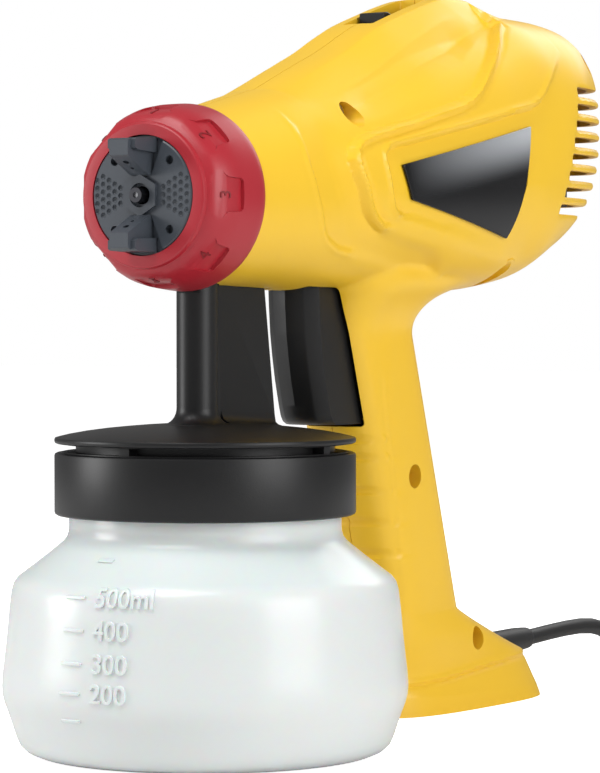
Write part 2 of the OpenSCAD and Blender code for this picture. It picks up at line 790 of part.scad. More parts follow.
// Web between the neck tube and the finger gap, drawn in Y and Z
module web_outline() {
    polygon([
        [neck_y, dome_z - 3], [web_low_y, dome_z - 3], [web_low_y - 0.2, dome_z + 2],
        [web_top_y, belly_z + 5], [neck_y, belly_z + 5]
    ]);
}

// Shares of the lid's radius and of its rise along the dome
dome_rows = [[0.91, 0.17], [0.8, 0.4], [0.67, 0.6], [0.54, 0.74], [0.41, 0.86], [0.27, 0.95]];

module cup_lid() {
    lip_r = collar_in_r - 0.1;
    color(black) difference() {
        union() {
            rotate_extrude($fn = 72) polygon([
                [0, seal_top_z + 3.5], [lip_r - 5, seal_top_z + 3.5],
                [lip_r - 5, seal_top_z], [lip_r, seal_top_z],
                [lip_r, collar_top_z], [drum_r, collar_top_z], [drum_r, flange_z], [collar_r, flange_z],
                [collar_r, flange_z + flange_h * 0.8], [collar_r - 0.8, flange_z + flange_h],
                each [for (row = dome_rows) [collar_r * row[0], mix(flange_z + flange_h, dome_z, row[1])]],
                [0, dome_z]
            ]);
            translate([0, neck_y, seal_top_z + 1]) cylinder(r = pickup_r + 2.4, h = dome_z - seal_top_z - 2);
            translate([0, vent_y, seal_top_z + 1]) cylinder(r = vent_r + 2.6, h = dome_z - seal_top_z - 2);
            translate([0, neck_y, dome_z - 3]) cylinder(r = spigot_r, h = neck_top_z - dome_z + 3);
            difference() {
                translate([0, neck_y, dome_z - 3]) cylinder(r = neck_r, h = belly_z + 5 - dome_z);
                block([-20, 20], [-20, -ring_rear + gap], [neck_shoulder_z, nozzle_z]);
            }
            plate_x(-web_t / 2, web_t / 2) web_outline();
        }
        difference() {
            translate([0, 0, collar_top_z + 0.5]) cylinder(r = drum_r + 9, h = drum_h - 1, $fn = 72);
            translate([0, 0, collar_top_z]) cylinder(r = drum_r - 2.5, h = drum_h, $fn = 72);
            for (i = [0:drum_slots - 1]) rotate([0, 0, 360 / drum_slots * i])
                translate([drum_r - 6, -drum_post_w / 2, collar_top_z]) cube([20, drum_post_w, drum_h]);
        }
        translate([0, neck_y, seal_top_z - over]) cylinder(r = pickup_bore_r, h = neck_top_z);
        translate([0, neck_y, seal_top_z - over]) cylinder(r = pickup_r + run, h = 8 + over);
        translate([0, vent_y, seal_top_z - over]) cylinder(r = vent_r, h = neck_top_z);
    }
}

bend_swell = 1.03;
pickup_top_z = seal_top_z + 8 - gap;
pickup_tilt = atan2(pickup_reach, pickup_bend_z - 9);
pickup_low = sqrt(pow(pickup_reach, 2) + pow(pickup_bend_z - 9, 2));

module pickup_shape(r, more) {
    translate([0, neck_y, pickup_bend_z]) cylinder(r = r, h = pickup_top_z - pickup_bend_z + more);
    translate([0, neck_y, pickup_bend_z]) sphere(r = r * bend_swell, $fn = 32);
    translate([0, neck_y, pickup_bend_z]) rotate([180 - pickup_tilt, 0, 0])
        cylinder(r = r, h = pickup_low + more);
}

module pickup_tube() {
    color(milk) difference() {
        pickup_shape(pickup_r, 0);
        pickup_shape(pickup_bore_r, over);
    }
}

module vent_valve() {
    color(red) difference() {
        union() {
            translate([0, vent_y, seal_top_z - 5]) cylinder(r1 = 2.4, r2 = vent_r + 2.4, h = 5.9);
            translate([0, vent_y, seal_top_z + 0.9]) cylinder(r = vent_r - run, h = 6);
        }
        translate([0, vent_y, seal_top_z - 4]) cylinder(r = 0.9, h = 14);
    }
}

// ---- Spray head ----

socket_r = spigot_r + 2.2;
barrel_front = -ring_front + 5.8;
barrel_back = 14;
hub_front = barrel_front + 7;
ring_lip_t = 2.9;
port_z = [nozzle_z + 6.8, nozzle_z + 17.5];
port_w = 10;

module spray_body() {
    color(black) difference() {
        union() {
            ring_y(barrel_r, barrel_r - barrel_wall, barrel_front, barrel_back, nozzle_z);
            rod_y(barrel_r - barrel_wall + 0.5, barrel_back - 3, barrel_back, nozzle_z);
            rod_y(hub_r, hub_front, barrel_back, nozzle_z);
            block([-1.5, 1.5], [hub_front + 6, barrel_back - 1], [nozzle_z + 2, nozzle_z + barrel_r - 1]);
            intersection() {
                translate([0, neck_y, nozzle_z - barrel_r - 2]) cylinder(r = socket_r, h = barrel_r);
                rod_y(barrel_r, barrel_front, barrel_back, nozzle_z);
            }
        }
        rod_y(needle_r + 2.4, hub_front - over, 2, nozzle_z);
        rod_y(needle_r + run, 0, barrel_back + over, nozzle_z);
        rod_y(needle_r + 2, 5, barrel_back + over, nozzle_z);
        translate([0, neck_y, belly_z - 4]) cylinder(r = spigot_r + run, h = neck_top_z + gap - belly_z + 4);
        translate([0, neck_y, nozzle_z - 14]) cylinder(r = pickup_bore_r, h = 14);
        block([-port_w, port_w], [barrel_back - 4, barrel_back + 2], port_z);
    }
}

nozzle_flange_y = hub_front - 1;
tip_back_y = -ring_front + cap_face_t + 0.6;
seat_y = tip_back_y + 1.5;
orifice_r = needle_r * 0.6;

module fluid_nozzle() {
    color(brass) difference() {
        union() {
            rod_y(hub_r - 1.5, nozzle_flange_y - 3, nozzle_flange_y, nozzle_z);
            rod_y(needle_r + 2.35, nozzle_flange_y - 1, nozzle_flange_y + 6, nozzle_z);
            cone_y_form(tip_r, hub_r - 3, tip_back_y, nozzle_flange_y - 3, nozzle_z);
            rod_y(tip_r, -ring_front - 3.6, tip_back_y, nozzle_z);
        }
        rod_y(needle_r + 0.6, seat_y, nozzle_flange_y + 8, nozzle_z);
        rod_y(orifice_r, -ring_front - 9, nozzle_flange_y, nozzle_z);
    }
}

module nozzle_seal() {
    color(red) ring_y(hub_r - 1.5, needle_r + 2.5, nozzle_flange_y, hub_front, nozzle_z);
}

collar_front = pivot_y + arm_half + gap / 2;
needle_collar_t = 3;

module needle() {
    color(steel) {
        rod_y(orifice_r - run, -ring_front - 3, seat_y + 0.5, nozzle_z);
        cone_y_form(orifice_r - run, needle_r, seat_y + 0.4, seat_y + 2.4, nozzle_z);
        rod_y(needle_r, seat_y + 2.4, spring_seat_y + 1, nozzle_z);
    }
}

module needle_collar() {
    color(brass) ring_y(arm_gap + 1.5, needle_r, collar_front, collar_front + needle_collar_t, nozzle_z);
}

module needle_spring() {
    color(steel)
        ring_y(arm_gap + 0.8, needle_r + 0.8, collar_front + needle_collar_t, spring_seat_y, nozzle_z);
}

module needle_packing() {
    color(milk) ring_y(needle_r + 2, needle_r + run, 5, barrel_back, nozzle_z);
}

module horn() {
    face = -ring_front - 0.2;
    plate_x(-horn_w / 2, horn_w / 2) polygon([
        [face + 1, cap_r - 1.5], [face - horn_h, cap_r - 1.8], [face - horn_h, cap_r - 6.2],
        [face - 2, tip_r + 4], [face + 1, tip_r + 4]
    ]);
}

module air_cap() {
    face = -ring_front - 0.2;
    color("#4a4e57") difference() {
        union() {
            rod_y(cap_r, face, barrel_front - 2.6, nozzle_z);
            rod_y(barrel_r - 1, barrel_front - 2.6, barrel_front - gap, nozzle_z);
            translate([0, 0, nozzle_z]) horn();
            translate([0, 0, nozzle_z]) mirror([0, 0, 1]) horn();
            rod_y(tip_r + 3.6, face - 1.6, face + 1, nozzle_z);
        }
        rod_y(cap_r - 3.4, face + cap_face_t, barrel_front + over, nozzle_z);
        rod_y(tip_r + 0.5, face - 9, face + 9, nozzle_z);
        for (x = [-1, 1], z = [-1, 1])
            rod_y(1.15, face - over, face + 9, nozzle_z + 10.2 * z, x = 9.8 * x);
        for (z = [-1, 1], x = [-2.4, 2.4]) translate([x, face - horn_h * 0.6, nozzle_z + z * (cap_r - 6)])
            rotate([z * 65, 0, 0]) translate([0, 0, -6]) cylinder(r = 0.6, h = 12, $fn = 16);
    }
}

// ---- Dial ring ----

function pad_r(y) = lookup(y, [
    [-ring_front, ring_front_r], [-ring_front + 1.2, ring_front_r + 0.2],
    [-ring_front + 3.4, ring_front_r + 2.9], [-ring_front + 8, ring_r - 1.3],
    [-ring_rear - 3, ring_r], [-ring_rear, ring_r - 0.4]
]);

module dial_ring() {
    stations = [for (d = [0, 1.2, 3.4, 8]) -ring_front + d];
    rim = [[ring_r, -ring_rear - 3], [ring_r - 0.4, -ring_rear]];
    outline = concat([for (y = stations) [pad_r(y), y]], rim);
    inner = [
        [barrel_r + run, -ring_rear], [barrel_r + run, -ring_front + ring_lip_t],
        [cap_r + gap, -ring_front + ring_lip_t], [cap_r + gap, -ring_front]
    ];
    color(red) difference() {
        translate([0, 0, nozzle_z]) rotate([-90, 0, 0])
            rotate_extrude($fn = 72) polygon(concat(outline, inner));
        for (i = [0:ring_pads - 1]) translate([0, 0, nozzle_z]) rotate([0, 360 / ring_pads * i, 0])
            translate([ring_r - 2.1, -ring_front + 2, -6]) cube([9, ring_front - ring_rear - 7, 12]);
    }
}

// ---- Air path ----

duct_w = 11;
duct_wall = 1.5;
duct_back_y = fan_y[0] - 9;
duct_mid_y = 76;
duct_front_y = barrel_back + 1.5;
duct_low_z = pivot_z + 6.9;
duct_high_z = screw_places[0][1] - screw_boss_r - gap - duct_wall;

// Stations of the air duct: position, floor and ceiling
duct_ends = [
    [duct_front_y, port_z[0] - 0.3, port_z[1] + 0.3], [pivot_y - 20, duct_low_z - 2.9, duct_high_z],
    [pivot_y + 1.5, duct_low_z, duct_high_z], [pivot_y + 12, duct_low_z + 1.6, duct_high_z + 11],
    [duct_back_y, motor_z + 7, motor_z + 23]
];

function duct_z(y) = [
    lookup(y, [for (e = duct_ends) [e[0], e[1]]]), lookup(y, [for (e = duct_ends) [e[0], e[2]]])
];

// Outline of the duct drawn in Y and Z, as wide as the duct; its ends run on by over_end
module duct_form(grow, over_end) {
    first = duct_ends[0];
    last = duct_ends[4];
    ends = concat(
        [[first[0] - over_end, first[1], first[2]]], duct_ends, [[last[0] + over_end, last[1], last[2]]]
    );
    plate_x(-duct_w - grow, duct_w + grow) polygon(concat(
        [for (e = ends) [e[0], e[1] - grow]], [for (i = [6:-1:0]) [ends[i][0], ends[i][2] + grow]]
    ));
}

module air_duct() {
    color(black) difference() {
        duct_form(duct_wall, 0);
        duct_form(0, over);
    }
}

module duct_seal() {
    color(red) difference() {
        block([-port_w - 1.5, port_w + 1.5], [barrel_back, duct_front_y - 0.05],
            [port_z[0] - 1.5, port_z[1] + 1.5]);
        block([-port_w, port_w], [barrel_back - over, duct_front_y + over], port_z);
    }
}

case_wall = 2;
fan_r = fan_case_r - case_wall - fan_room;

module fan_case_front() {
    color(black) difference() {
        union() {
            rod_y(fan_case_r, fan_y[0] - 3, fan_y[0], motor_z);
            block([-duct_w - duct_wall, duct_w + duct_wall], [duct_back_y + 0.05, fan_y[0] - 1],
                [duct_z(duct_back_y)[0] - duct_wall, duct_z(duct_back_y)[1] + duct_wall]);
        }
        block([-duct_w, duct_w], [duct_back_y - over, fan_y[0] + over], duct_z(duct_back_y));
    }
}

module fan_case_rear() {
    color(black) difference() {
        union() {
            rod_y(fan_case_r, fan_y[0], fan_y[1] + case_wall, motor_z);
            for (i = [0:2]) translate([0, fan_y[1] + case_wall - 1, motor_z]) rotate([-90, 120 * i, 0])
                translate([0, can_r - 5, 0]) cylinder(r = 2.5, h = 4);
        }
        rod_y(fan_case_r - case_wall, fan_y[0] - over, fan_y[1], motor_z);
        rod_y(fan_r / 2, fan_y[1] - over, fan_y[1] + 9, motor_z);
    }
}

module fan_wheel() {
    color(milk) difference() {
        union() {
            rod_y(fan_r, fan_y[0] + 2, fan_y[0] + 3.5, motor_z);
            rod_y(shaft_r + 3.5, fan_y[0] + 2, fan_y[1] - 3, motor_z);
            for (i = [0:fan_blades - 1])
                translate([0, fan_y[0] + 3, motor_z]) rotate([0, 360 / fan_blades * i, 0])
                    translate([fan_r * 0.42, 0, -0.6]) cube([fan_r * 0.56, fan_y[1] - fan_y[0] - 7, 1.2]);
        }
        rod_y(shaft_r + 0.01, fan_y[0], fan_y[1], motor_z);
    }
}

module fan_nut() {
    color(steel) ring_y(shaft_r + 2, shaft_r + 0.01, fan_y[0] + 0.4, fan_y[0] + 1.9, motor_z);
}

module motor_shaft() {
    color(steel) rod_y(shaft_r, fan_y[0] + 0.5, end_y[1] - 2.2, motor_z);
}

module bearing(y) {
    color(steel) ring_y(bearing_r, shaft_r + 0.02, y, y + 5, motor_z);
}

module bearing_front() {
    bearing(can_y[0] + 0.3);
}

module bearing_rear() {
    bearing(end_y[1] - 7);
}

module motor_can() {
    color(steel) difference() {
        union() {
            ring_y(can_r, can_r - 1.5, can_y[0], can_y[1], motor_z);
            rod_y(can_r - 1, can_y[0], can_y[0] + 2, motor_z);
            rod_y(bearing_r + 2, can_y[0], can_y[0] + 5.5, motor_z);
        }
        rod_y(bearing_r + 0.02, can_y[0] - over, can_y[0] + 9, motor_z);
        for (i = [0:2]) translate([0, can_y[0] - over, motor_z]) rotate([-90, 120 * i + 60, 0])
            translate([0, can_r - 7, 0]) cylinder(r = 4, h = 5);
    }
}

module field_stack() {
    color(copper) ring_y(can_r - 1.6, can_r - 8.5, can_y[0] + 8, can_y[1] - 4, motor_z);
}

module armature() {
    color(copper) ring_y(can_r - 9, shaft_r + 0.01, can_y[0] + 8, can_y[1] - 4, motor_z);
}

commutator_r = 7;

module commutator() {
    color(brass) ring_y(commutator_r, shaft_r + 0.01, can_y[1] - 2, end_y[0] + 6, motor_z);
}

module brush_frame() {
    color(black) difference() {
        union() {
            ring_y(end_r, end_r - 2, end_y[0], end_y[1], motor_z);
            ring_y(can_r, end_r - 2, end_y[0], end_y[0] + 1.5, motor_z);
            rod_y(end_r - 1, end_y[1] - 2, end_y[1], motor_z);
            rod_y(bearing_r + 2, end_y[1] - 7.2, end_y[1], motor_z);
            block([-end_r + 1, end_r - 1], [end_y[0], end_y[0] + 6], [motor_z - 4, motor_z + 4]);
        }
        rod_y(bearing_r + 0.02, end_y[1] - 9, end_y[1] - 1.9, motor_z);
        rod_y(commutator_r + 1, end_y[0] - over, end_y[1] - 7.2, motor_z);
        block([-end_r + 2.5, end_r - 2.5], [end_y[0] + 0.9, end_y[0] + 5.1], [motor_z - 2.6, motor_z + 2.6]);
        for (z = [-1, 1]) rod_y(3, end_y[1] - 4, end_y[1] + over, motor_z + 12.5 * z);
    }
}

module carbon_brushes() {
    color("#3a3a3c") for (x = [commutator_r + 0.1, -end_r + 2.6])
        block([x, x + end_r - commutator_r - 2.7], [end_y[0] + 1, end_y[0] + 5],
            [motor_z - 2.5, motor_z + 2.5]);
}

module fan_mount_ring() {
    color(black) ring_y(fan_ring_r, fan_case_r + gap / 3, fan_ring_y, fan_ring_y + mount_w, motor_z);
}

module motor_mount_ring() {
    color(black) ring_y(motor_ring_r, end_r + gap / 3, motor_ring_y, motor_ring_y + mount_w, motor_z);
}

module air_filter() {
    color("#3d4247") block([-filter_w, filter_w], [filter_y, filter_y + filter_t], filter_z);
}

// ---- Cord entry ----

sleeve_end_y = heel_y + 17.6;
sleeve_in_y = clamp_y + 7 + gap;

module cable_clamp() {
    color(black) difference() {
        block([clamp_x, clamp_x + 2.5], [clamp_y - 5, clamp_y + 5], [cord_z - 9, cord_z + 7.4]);
        for (dz = [-1, 1]) rod_x(1.35, 0, 12, clamp_y, cord_z + clamp_pitch * dz);
    }
}

module clamp_screws() {
    color(steel) for (dz = [-1, 1]) {
        rod_x(1.3, -11, clamp_x + 2.5, clamp_y, cord_z + clamp_pitch * dz);
        rod_x(2.3, clamp_x + 2.5, clamp_x + 3.9, clamp_y, cord_z + clamp_pitch * dz);
    }
}

inner_bend_y = 132;
inner_top_z = switch_z[0] - gap;
inner_tilt = atan2(inner_bend_y - switch_y[1] + 4, inner_top_z - cord_z);

module inner_cable() {
    up_len = (inner_top_z - cord_z) / cos(inner_tilt) - 2;
    color(black) {
        rod_y(cord_r, inner_bend_y, sleeve_end_y, cord_z);
        translate([0, inner_bend_y, cord_z]) sphere(r = cord_r * bend_swell, $fn = 32);
        translate([0, inner_bend_y, cord_z]) rotate([inner_tilt, 0, 0]) cylinder(r = cord_r, h = up_len);
    }
}

module strain_relief() {
    color(black) difference() {
        union() {
            rod_y(sleeve_r + 0.9, sleeve_in_y, sleeve_in_y + 2, cord_z);
            rod_y(sleeve_r, sleeve_in_y, sleeve_end_y - 8, cord_z);
            cone_y_form(sleeve_r, sleeve_r - 0.5, sleeve_end_y - 8, sleeve_end_y, cord_z);
        }
        rod_y(cord_r + run, sleeve_in_y - over, sleeve_end_y + over, cord_z);
    }
}

// ---- Free cord and plug ----

lay_z = cord_r + 0.1;
layer_z = lay_z + cord_r * 2 + 0.6;
coil_x = 25;
coil_y = 365;
coil_sides = 6;
coil_rings = 24;
inner_turn_r = coil_r - coil_step * coil_turns;
climb = 0.5;
climb_dip = 0.9;
turns_all = coil_turns * 2 + climb;

// Place on the coil after t turns: in on the floor, half a turn up, out again on top
function coil_radius(t) = t < coil_turns ? coil_r - coil_step * t
    : t < coil_turns + climb ? inner_turn_r - climb_dip * sin(180 * (t - coil_turns) / climb)
    : inner_turn_r + coil_step * (t - coil_turns - climb);
function coil_height(t) = mix(lay_z, layer_z, ramp((t - coil_turns) / climb));
function coil_spot(t) = [
    coil_x + coil_radius(t) * cos(180 - 360 * t), coil_y + coil_radius(t) * sin(180 - 360 * t), coil_height(t)
];

coil_path = concat(
    [[coil_x - coil_r, coil_y - 2 * cord_r, lay_z]],
    [for (i = [0:turns_all * coil_rings]) coil_spot(i / coil_rings)],
    [[coil_x + coil_radius(turns_all), coil_y - 2 * cord_r, layer_z]]
);

// Centre line of the cord from its sleeve to the coil
run_path = [
    [0, sleeve_end_y, cord_z], [0, 217, 16.6], [0, 228, 17], [0, 242, 17.3], [0, 254, 17.2], [0, 264, 16.4],
    [-1, 274, 14.6], [-3, 284, 11.8], [-6, 294, 8.6], [-9.5, 304, 5.8], [-13.5, 314, 3.9], [-17.5, 324, 3.2],
    [-20.5, 334, 3], [-22, 344, 3], [-22.5, 352, 3], [coil_x - coil_r, coil_y - 2 * cord_r, lay_z]
];
plug_z = 7.4;
plug_back_y = 306;
tail_x = coil_x + coil_radius(turns_all);
tail_path = [
    [tail_x, coil_y - 2 * cord_r, layer_z], [tail_x, 350, 9.3], [tail_x, 340, 8.9], [tail_x, 330, 8.2],
    [tail_x, 320, 7.6], [tail_x, 312, plug_z], [tail_x, plug_back_y, plug_z]
];

function unit(v) = v / norm(v);
function heading(path, i) = i == 0 ? unit(path[1] - path[0])
    : i == len(path) - 1 ? unit(path[i] - path[i - 1])
    : unit(unit(path[i + 1] - path[i]) + unit(path[i] - path[i - 1]));

// A round tube swept along a path
module tube(path, r, sides, first, last) {
    rings = [for (i = [0:len(path) - 1]) let (
        d = i == 0 ? first : i == len(path) - 1 ? last : heading(path, i),
        across = unit(cross([0, 0, 1], d)), up = cross(d, across)
    ) [for (k = [0:sides - 1]) path[i] + r * (across * cos(360 * k / sides) + up * sin(360 * k / sides))]];
    loft([for (ring = rings) [for (k = [sides - 1:-1:0]) ring[k]]]);
}

along = [0, 1, 0];
cord_gap = min([for (i = [0:len(coil_path) - 1], j = [i + 12:len(coil_path) - 1])
    if (j < len(coil_path)) norm(coil_path[i] - coil_path[j])]) - 2 * cord_r;
echo(least_gap_of_the_coiled_cord_to_itself = cord_gap);

module cord_run() {
    color(black) tube(run_path, cord_r, 8, along, along);
}

module cord_coil() {
    color(black) tube(coil_path, cord_r, coil_sides, along, -along);
}

module cord_tail() {
    color(black) tube(tail_path, cord_r, 8, -along, -along);
}

plug_l = 30;
plug_half = plug_pin_gap / 2 + 8;
plug_t = plug_z - 0.1;

module plug_body() {
    face_y = plug_back_y - 14 - plug_l;
    color(black) {
        translate([tail_x, 0, 0]) difference() {
            hull() for (x = [-1, 1]) {
                rod_y(plug_t, face_y, face_y + 16, plug_z, x * (plug_half - plug_t), $fn = 32);
                rod_y(plug_t - 1, face_y + plug_l - 6, face_y + plug_l, plug_z, x * 3, $fn = 32);
            }
            for (x = [-1, 1])
                rod_y(plug_pin_r - 0.4, face_y - over, face_y + 6, plug_z, x * plug_pin_gap / 2);
        }
        translate([tail_x, plug_back_y - 15, plug_z]) rotate([-90, 0, 0]) cylinder(r1 = 5, r2 = 4, h = 15);
    }
}

module plug_pins() {
    face_y = plug_back_y - 14 - plug_l;
    color(steel) for (x = [-1, 1] * plug_pin_gap / 2) {
        rod_y(plug_pin_r, face_y - plug_pin_l, face_y, plug_z, tail_x + x);
        rod_y(plug_pin_r - 0.42, face_y - over, face_y + 6, plug_z, tail_x + x);
    }
}

housing_left();
housing_right();
housing_screws();
badge_left();
badge_right();
slide_switch();
slide_contact_block();
trigger();
trigger_pin();
power_switch();
switch_plunger();
capacitor();
cup_lid();
screw_collar();
cup();
cup_seal();
pickup_tube();
vent_valve();
spray_body();
fluid_nozzle();
nozzle_seal();
needle();
needle_collar();
needle_spring();
needle_packing();
air_cap();
dial_ring();
air_duct();
duct_seal();
fan_case_front();
fan_case_rear();
fan_wheel();
fan_nut();
motor_shaft();
armature();
commutator();
motor_can();
field_stack();
brush_frame();
carbon_brushes();
bearing_front();
bearing_rear();
fan_mount_ring();
motor_mount_ring();
air_filter();
cable_clamp();
clamp_screws();
inner_cable();
strain_relief();
cord_run();
cord_coil();
cord_tail();
plug_body();
plug_pins();
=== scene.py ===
"""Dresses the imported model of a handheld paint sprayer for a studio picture."""
import bmesh
import bpy
import json
import math
import numpy as np
from mathutils import Matrix, Vector
from mathutils.kdtree import KDTree


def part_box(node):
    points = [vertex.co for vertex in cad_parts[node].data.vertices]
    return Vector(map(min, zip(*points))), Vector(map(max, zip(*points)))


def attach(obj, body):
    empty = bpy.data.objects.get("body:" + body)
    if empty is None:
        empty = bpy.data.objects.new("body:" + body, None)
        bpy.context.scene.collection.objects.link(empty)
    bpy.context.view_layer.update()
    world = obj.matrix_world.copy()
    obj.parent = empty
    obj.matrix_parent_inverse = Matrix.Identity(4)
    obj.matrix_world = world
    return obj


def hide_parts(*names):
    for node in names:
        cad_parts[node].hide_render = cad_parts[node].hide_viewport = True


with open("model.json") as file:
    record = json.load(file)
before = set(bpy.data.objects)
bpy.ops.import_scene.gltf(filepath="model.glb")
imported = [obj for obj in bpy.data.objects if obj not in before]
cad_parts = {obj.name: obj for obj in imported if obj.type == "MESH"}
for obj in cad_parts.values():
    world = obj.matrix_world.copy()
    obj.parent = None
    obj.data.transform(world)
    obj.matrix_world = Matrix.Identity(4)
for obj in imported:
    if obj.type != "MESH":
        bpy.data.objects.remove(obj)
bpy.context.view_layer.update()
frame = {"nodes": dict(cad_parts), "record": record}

bl_info = {
    "name": "Paint Sprayer",
    "version": (1, 0, 0),
    "blender": (4, 5, 0),
    "location": "View3D > Sidebar > Sprayer",
    "description": "Builds the visible pieces of a handheld paint sprayer over its packed frame",
    "category": "Object",
}

MM = 0.001


# ---------------------------------------------------------------- settings

class SprayerSizes(bpy.types.PropertyGroup):
    seam: bpy.props.FloatProperty(
        name="Seam", description="Half the gap between the housing halves", default=0.00012, unit="LENGTH")
    cord_r: bpy.props.FloatProperty(
        name="Cord radius", description="Radius of the mains cord", default=0.0029, unit="LENGTH")


class SprayerColours(bpy.types.PropertyGroup):
    housing: bpy.props.FloatVectorProperty(
        name="Housing", description="Colour of the housing", subtype="COLOR", size=4,
        default=(0.95, 0.585, 0.028, 1))
    ring: bpy.props.FloatVectorProperty(
        name="Dial ring", description="Colour of the dial ring", subtype="COLOR", size=4,
        default=(0.43, 0.018, 0.03, 1))
    black: bpy.props.FloatVectorProperty(
        name="Black parts", description="Colour of the lid, collar and trigger", subtype="COLOR", size=4,
        default=(0.009, 0.009, 0.0095, 1))
    cap: bpy.props.FloatVectorProperty(
        name="Air cap", description="Colour of the air cap", subtype="COLOR", size=4,
        default=(0.06, 0.07, 0.085, 1))
    cup: bpy.props.FloatVectorProperty(
        name="Paint cup", description="Colour of the milky cup", subtype="COLOR", size=4,
        default=(0.82, 0.81, 0.80, 1))


def sizes():
    return bpy.context.scene.sprayer_sizes


def colours():
    return bpy.context.scene.sprayer_colours


# ---------------------------------------------------------------- node groups and materials

def new_group(name, outputs, inputs):
    """An empty shader node group with named sockets."""
    group = bpy.data.node_groups.new(name, "ShaderNodeTree")
    for label, kind, value in inputs:
        socket = group.interface.new_socket(name=label, in_out="INPUT", socket_type=kind)
        if value is not None:
            socket.default_value = value
    for label, kind in outputs:
        group.interface.new_socket(name=label, in_out="OUTPUT", socket_type=kind)
    start = group.nodes.new("NodeGroupInput")
    end = group.nodes.new("NodeGroupOutput")
    return group, start, end


def set_inputs(node, values):
    for label, value in values.items():
        node.inputs[label].default_value = value


def add_node(tree, kind, values=None, **settings):
    """A new shader node with its settings and the values of its inputs."""
    node = tree.nodes.new("ShaderNode" + kind)
    for name, value in settings.items():
        setattr(node, name, value)
    set_inputs(node, values or {})
    return node


def wire(tree, *wires):
    """Links nodes: each wire names a node and its output, then a node and its input."""
    for start, output, end, socket in wires:
        tree.links.new(start.outputs[output], end.inputs[socket])


def moulded_group():
    """Fine grain and soft unevenness of a moulded surface: a normal, a roughness and a tint mask."""
    if "moulded" in bpy.data.node_groups:
        return bpy.data.node_groups["moulded"]
    group, start, end = new_group(
        "moulded",
        [("Normal", "NodeSocketVector"), ("Roughness", "NodeSocketFloat"), ("Mask", "NodeSocketFloat")],
        [("Grain", "NodeSocketFloat", 1400.0), ("Depth", "NodeSocketFloat", 0.1),
         ("Rough", "NodeSocketFloat", 0.4), ("Spread", "NodeSocketFloat", 0.1)])
    place = add_node(group, "TexCoord")
    fine = add_node(group, "TexNoise", {"Detail": 3})
    broad = add_node(group, "TexNoise", {"Scale": 38, "Detail": 4})
    bump = add_node(group, "Bump", {"Distance": 0.0002})
    centre = add_node(group, "Math", {1: 0.5}, operation="SUBTRACT")
    rough = add_node(group, "Math", operation="MULTIPLY_ADD")
    wire(group,
         (place, "Object", fine, "Vector"), (place, "Object", broad, "Vector"),
         (start, "Grain", fine, "Scale"), (start, "Depth", bump, "Strength"), (fine, "Fac", bump, "Height"),
         (broad, "Fac", centre, 0), (centre, 0, rough, 0), (start, "Spread", rough, 1),
         (start, "Rough", rough, 2),
         (bump, "Normal", end, "Normal"), (rough, 0, end, "Roughness"), (broad, "Fac", end, "Mask"))
    return group


def plain_material(name, colour, rough=0.4, grain=1400.0, depth=0.1, spread=0.1, shade=0.9, metallic=0.0,
                   specular=0.5):
    """A moulded or machined finish: colour varied a little, roughness and grain from the shared group."""
    if name in bpy.data.materials:
        return bpy.data.materials[name]
    mat = bpy.data.materials.new(name)
    mat.use_nodes = True
    tree = mat.node_tree
    shader = tree.nodes["Principled BSDF"]
    effect = add_node(tree, "Group", {"Grain": grain, "Depth": depth, "Rough": rough, "Spread": spread},
                      node_tree=moulded_group())
    mix = add_node(tree, "Mix", {"A": [c * shade for c in colour[:3]] + [1], "B": list(colour[:3]) + [1]},
                   data_type="RGBA")
    wire(tree, (effect, "Mask", mix, "Factor"), (mix, "Result", shader, "Base Color"),
         (effect, "Roughness", shader, "Roughness"), (effect, "Normal", shader, "Normal"))
    set_inputs(shader, {"Metallic": metallic, "Specular IOR Level": specular})
    return mat


def housing_material():
    return plain_material("satin_yellow_plastic", colours().housing, rough=0.36, grain=2600.0, depth=0.05,
                          spread=0.06, shade=0.97)


def ring_material():
    return plain_material("dark_red_plastic", colours().ring, rough=0.38, grain=2400.0, depth=0.06,
                          shade=0.95)


def black_material():
    return plain_material("black_moulded_plastic", colours().black, rough=0.4, grain=1900.0, depth=0.12,
                          spread=0.08, shade=0.85, specular=0.38)


def rubber_material():
    return plain_material("black_cord_rubber", (0.02, 0.02, 0.021), rough=0.5, grain=1500.0, depth=0.15,
                          shade=0.8)


def cap_material():
    return plain_material("grey_moulded_plastic", colours().cap, rough=0.4, grain=2200.0, depth=0.1,
                          shade=0.85)


def metal_material(name, colour, rough=0.3):
    return plain_material(name, colour, rough=rough, grain=900.0, depth=0.06, spread=0.15, shade=0.85,
                          metallic=1.0)


BADGE_BLACK = (0.008, 0.008, 0.009)


